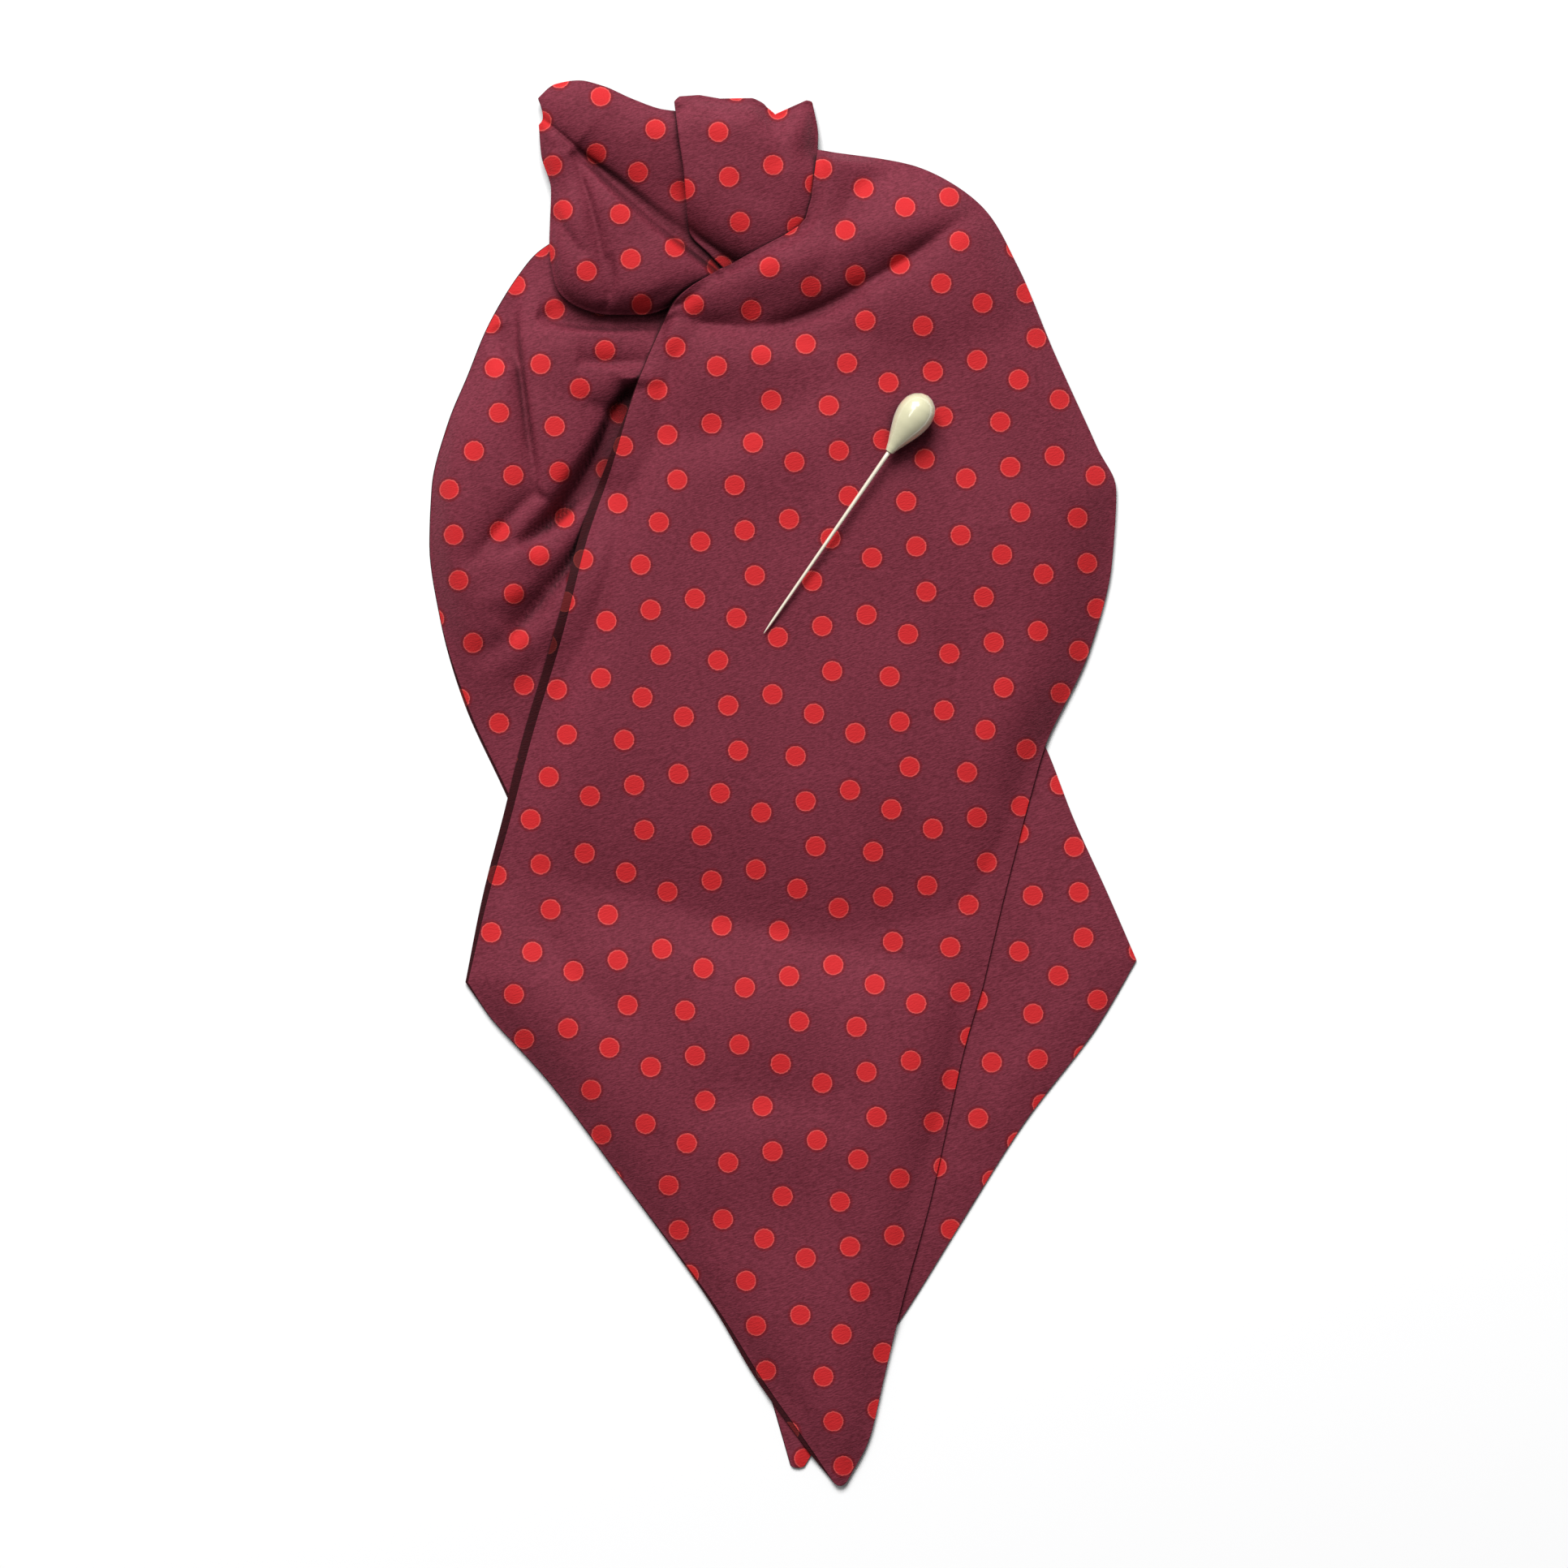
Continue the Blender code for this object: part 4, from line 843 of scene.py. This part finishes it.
# The pin: a drop of imitation pearl, moulded and dipped in pearl lacquer, cemented on a bright drawn wire
# that tapers to a ground point. It lies on the front blade by its point and by the belly of its head.
PIN_POINT = (-4.8, 33.4)
PIN_NECK = (23.4, 74.2)
PIN_SHAFT_DIAMETER = 1.0
PIN_SHARP_LENGTH = 5.0
PIN_THIN_SHARE = 0.6
PIN_POINT_FULLNESS = 0.8
PIN_SUNK_LENGTH = 0.8
PIN_SHAFT_SIDES = 20
PIN_HEAD_LENGTH = 15.2
PIN_HEAD_DIAMETER = 8.3
PIN_HEAD_RINGS = 50
PIN_HEAD_SIDES = 64
PIN_CLEARANCE = 0.15
PIN_TRIES = 60
PROFILE = ("along", "radius")
PIN_HEAD_PROFILE = [
    (0.0, 0.22), (0.06, 0.30), (0.2, 0.50), (0.36, 0.74), (0.52, 0.93),
    (0.66, 1.0), (0.8, 0.93), (0.91, 0.70), (0.98, 0.34), (1.0, 0.0),
]


def turned_parts(start, axis, along, radius, sides):
    """The points and faces of a solid turned about a line: rings of points at each step, closed by two
    poles."""
    unit = axis / np.linalg.norm(axis)
    level = np.cross(unit, (0, 0, 1))
    level /= np.linalg.norm(level)
    angle = np.arange(sides) * 2 * math.pi / sides
    spokes = np.cos(angle)[:, None] * level + np.sin(angle)[:, None] * np.cross(level, unit)
    rings = start + along[1:-1, None, None] * axis + radius[1:-1, None, None] * spokes
    points = np.concatenate([[start + along[0] * axis], rings.reshape(-1, 3), [start + along[-1] * axis]])
    loops = 1 + np.arange(len(rings) * sides).reshape(len(rings), sides)
    following = np.roll(loops, -1, axis=1)
    walls = np.stack([loops[:-1], loops[1:], following[1:], following[:-1]], axis=-1).reshape(-1, 4)
    first = np.column_stack([np.zeros(sides, int), loops[0], following[0]])
    last = np.column_stack([loops[-1], np.full(sides, len(points) - 1), following[-1]])
    return points, [*first.tolist(), *walls.tolist(), *last.tolist()]


# The pin's slope is the least at which it clears the cloth all along from its point.
point, neck = np.array(PIN_POINT), np.array(PIN_NECK)
shaft_length = np.linalg.norm(neck - point)
profile = table(PROFILE, PIN_HEAD_PROFILE)
along = np.linspace(0, shaft_length + PIN_HEAD_LENGTH, PIN_TRIES)
place = point + along[:, None] * (neck - point) / shaft_length
head_share = (along - shaft_length) / PIN_HEAD_LENGTH
width = np.where(
    along < shaft_length,
    PIN_SHAFT_DIAMETER / 2,
    np.interp(head_share, profile["along"], profile["radius"]) * PIN_HEAD_DIAMETER / 2,
)
needed = at(front_top, place[:, 0], place[:, 1]) + width + PIN_CLEARANCE
pin_slope = ((needed - needed[0])[1:] / along[1:]).max()
pin_start = np.array([*point, needed[0]])
pin_axis = np.array([*((neck - point) / shaft_length), pin_slope])

# Bright drawn wire: smooth and warm in tone, with a broad soft highlight along it.
wire = new_material("bright drawn wire", {
    "Base Color": paint("ece2ce"), "Metallic": 0.25, "Roughness": 0.38,
})

# The shaft's rings are closest at the point, and the last two close it flat inside the head.
shaft_along = np.array([0, 0.12, 0.3, 0.6, 1.0, *np.linspace(1.1, 12.0, 40)]) * PIN_SHARP_LENGTH
shaft_end = shaft_length + PIN_SUNK_LENGTH
shaft_along = np.append(shaft_along[shaft_along < shaft_length - 1], [shaft_end, shaft_end])
taper = PIN_THIN_SHARE + (1 - PIN_THIN_SHARE) * shaft_along / shaft_length
sharpened = rounded(shaft_along, PIN_SHARP_LENGTH) ** PIN_POINT_FULLNESS
shaft_radius = PIN_SHAFT_DIAMETER / 2 * taper * sharpened
points, faces = turned_parts(pin_start, pin_axis, shaft_along, shaft_radius, PIN_SHAFT_SIDES)
new_piece("pin_wire_shaft", points, faces, wire, ["pin_shaft"])

# Pearl lacquer: a satin ivory body below a clear hard coat, which gives one bright narrow highlight.
pearl = new_material("pearl lacquer", {
    "Base Color": paint("d6d2ae"), "Roughness": 0.3, "Sheen Weight": 0.3,
    "Coat Weight": 1.0, "Coat Roughness": 0.12, "Coat IOR": 1.9,
})
head_steps = np.concatenate([[0.0], 1 - np.cos(np.linspace(0, math.pi, PIN_HEAD_RINGS))]) / 2
profile_row = np.interp(head_steps, profile["along"], np.arange(len(PIN_HEAD_PROFILE), dtype=float))
no_corner = np.zeros(len(PIN_HEAD_PROFILE))
head_radius = smooth_rows(profile["radius"], no_corner, profile_row) * PIN_HEAD_DIAMETER / 2
head_along = shaft_length + head_steps * PIN_HEAD_LENGTH
points, faces = turned_parts(pin_start, pin_axis, head_along, head_radius, PIN_HEAD_SIDES)
new_piece("pin_pearl_head", points, faces, pearl, ["pin_head"])

# The table, the lamps and the camera, in metres: a table of matt white board, one large soft lamp beyond
# the knot, and a long narrow one at the left, level with the pin, which draws the highlight along its head.
# A long lens looks straight down.
TABLE_HALF = 1.5
CAMERA_HEIGHT = 2.6
PICTURE_MIDDLE = (0.000255, -0.000253)
PICTURE_WIDTH = 0.35127
MEASURED_HEIGHT = 0.005
SENSOR = 36.0
mesh = bpy.data.meshes.new("table_top")
table_corners = [(x * TABLE_HALF, y * TABLE_HALF, 0) for x, y in ((-1, -1), (1, -1), (1, 1), (-1, 1))]
mesh.from_pydata(table_corners, [], [(0, 1, 2, 3)])
table_top = bpy.data.objects.new("table_top", mesh)
bpy.context.scene.collection.objects.link(table_top)
mesh.materials.append(new_material(
    "matt white board", {"Base Color": paint("f4f4f4"), "Roughness": 0.9, "Specular IOR Level": 0.1}
))


def add_lamp(name, place, width, height, power):
    """A soft lamp that faces the middle of the table, with its width level."""
    data = bpy.data.lights.new(name, "AREA")
    data.shape = "RECTANGLE"
    data.size = width
    data.size_y = height
    data.energy = power
    lamp = bpy.data.objects.new(name, data)
    lamp.location = place
    lamp.rotation_euler = Vector(place).to_track_quat("Z", "Y").to_euler()
    bpy.context.scene.collection.objects.link(lamp)


add_lamp("lamp_beyond", (-0.43, 2.42, 2.28), 2.0, 1.6, 168.0)
add_lamp("lamp_strip", (-0.65, 0.45, 1.7), 1.2, 0.3, 4.0)
world = bpy.data.worlds.new("room")
world.use_nodes = True
background = world.node_tree.nodes["Background"]
background.inputs["Color"].default_value = paint("f6f6f8")
background.inputs["Strength"].default_value = 0.17
bpy.context.scene.world = world
bpy.context.scene.view_settings.view_transform = "Standard"

camera = bpy.data.objects.new("camera", bpy.data.cameras.new("camera"))
camera.data.sensor_width = SENSOR
camera.data.lens = SENSOR * (CAMERA_HEIGHT - MEASURED_HEIGHT) / PICTURE_WIDTH
camera.data.clip_end = 20
camera.location = (*PICTURE_MIDDLE, CAMERA_HEIGHT)
bpy.context.scene.collection.objects.link(camera)
bpy.context.scene.camera = camera
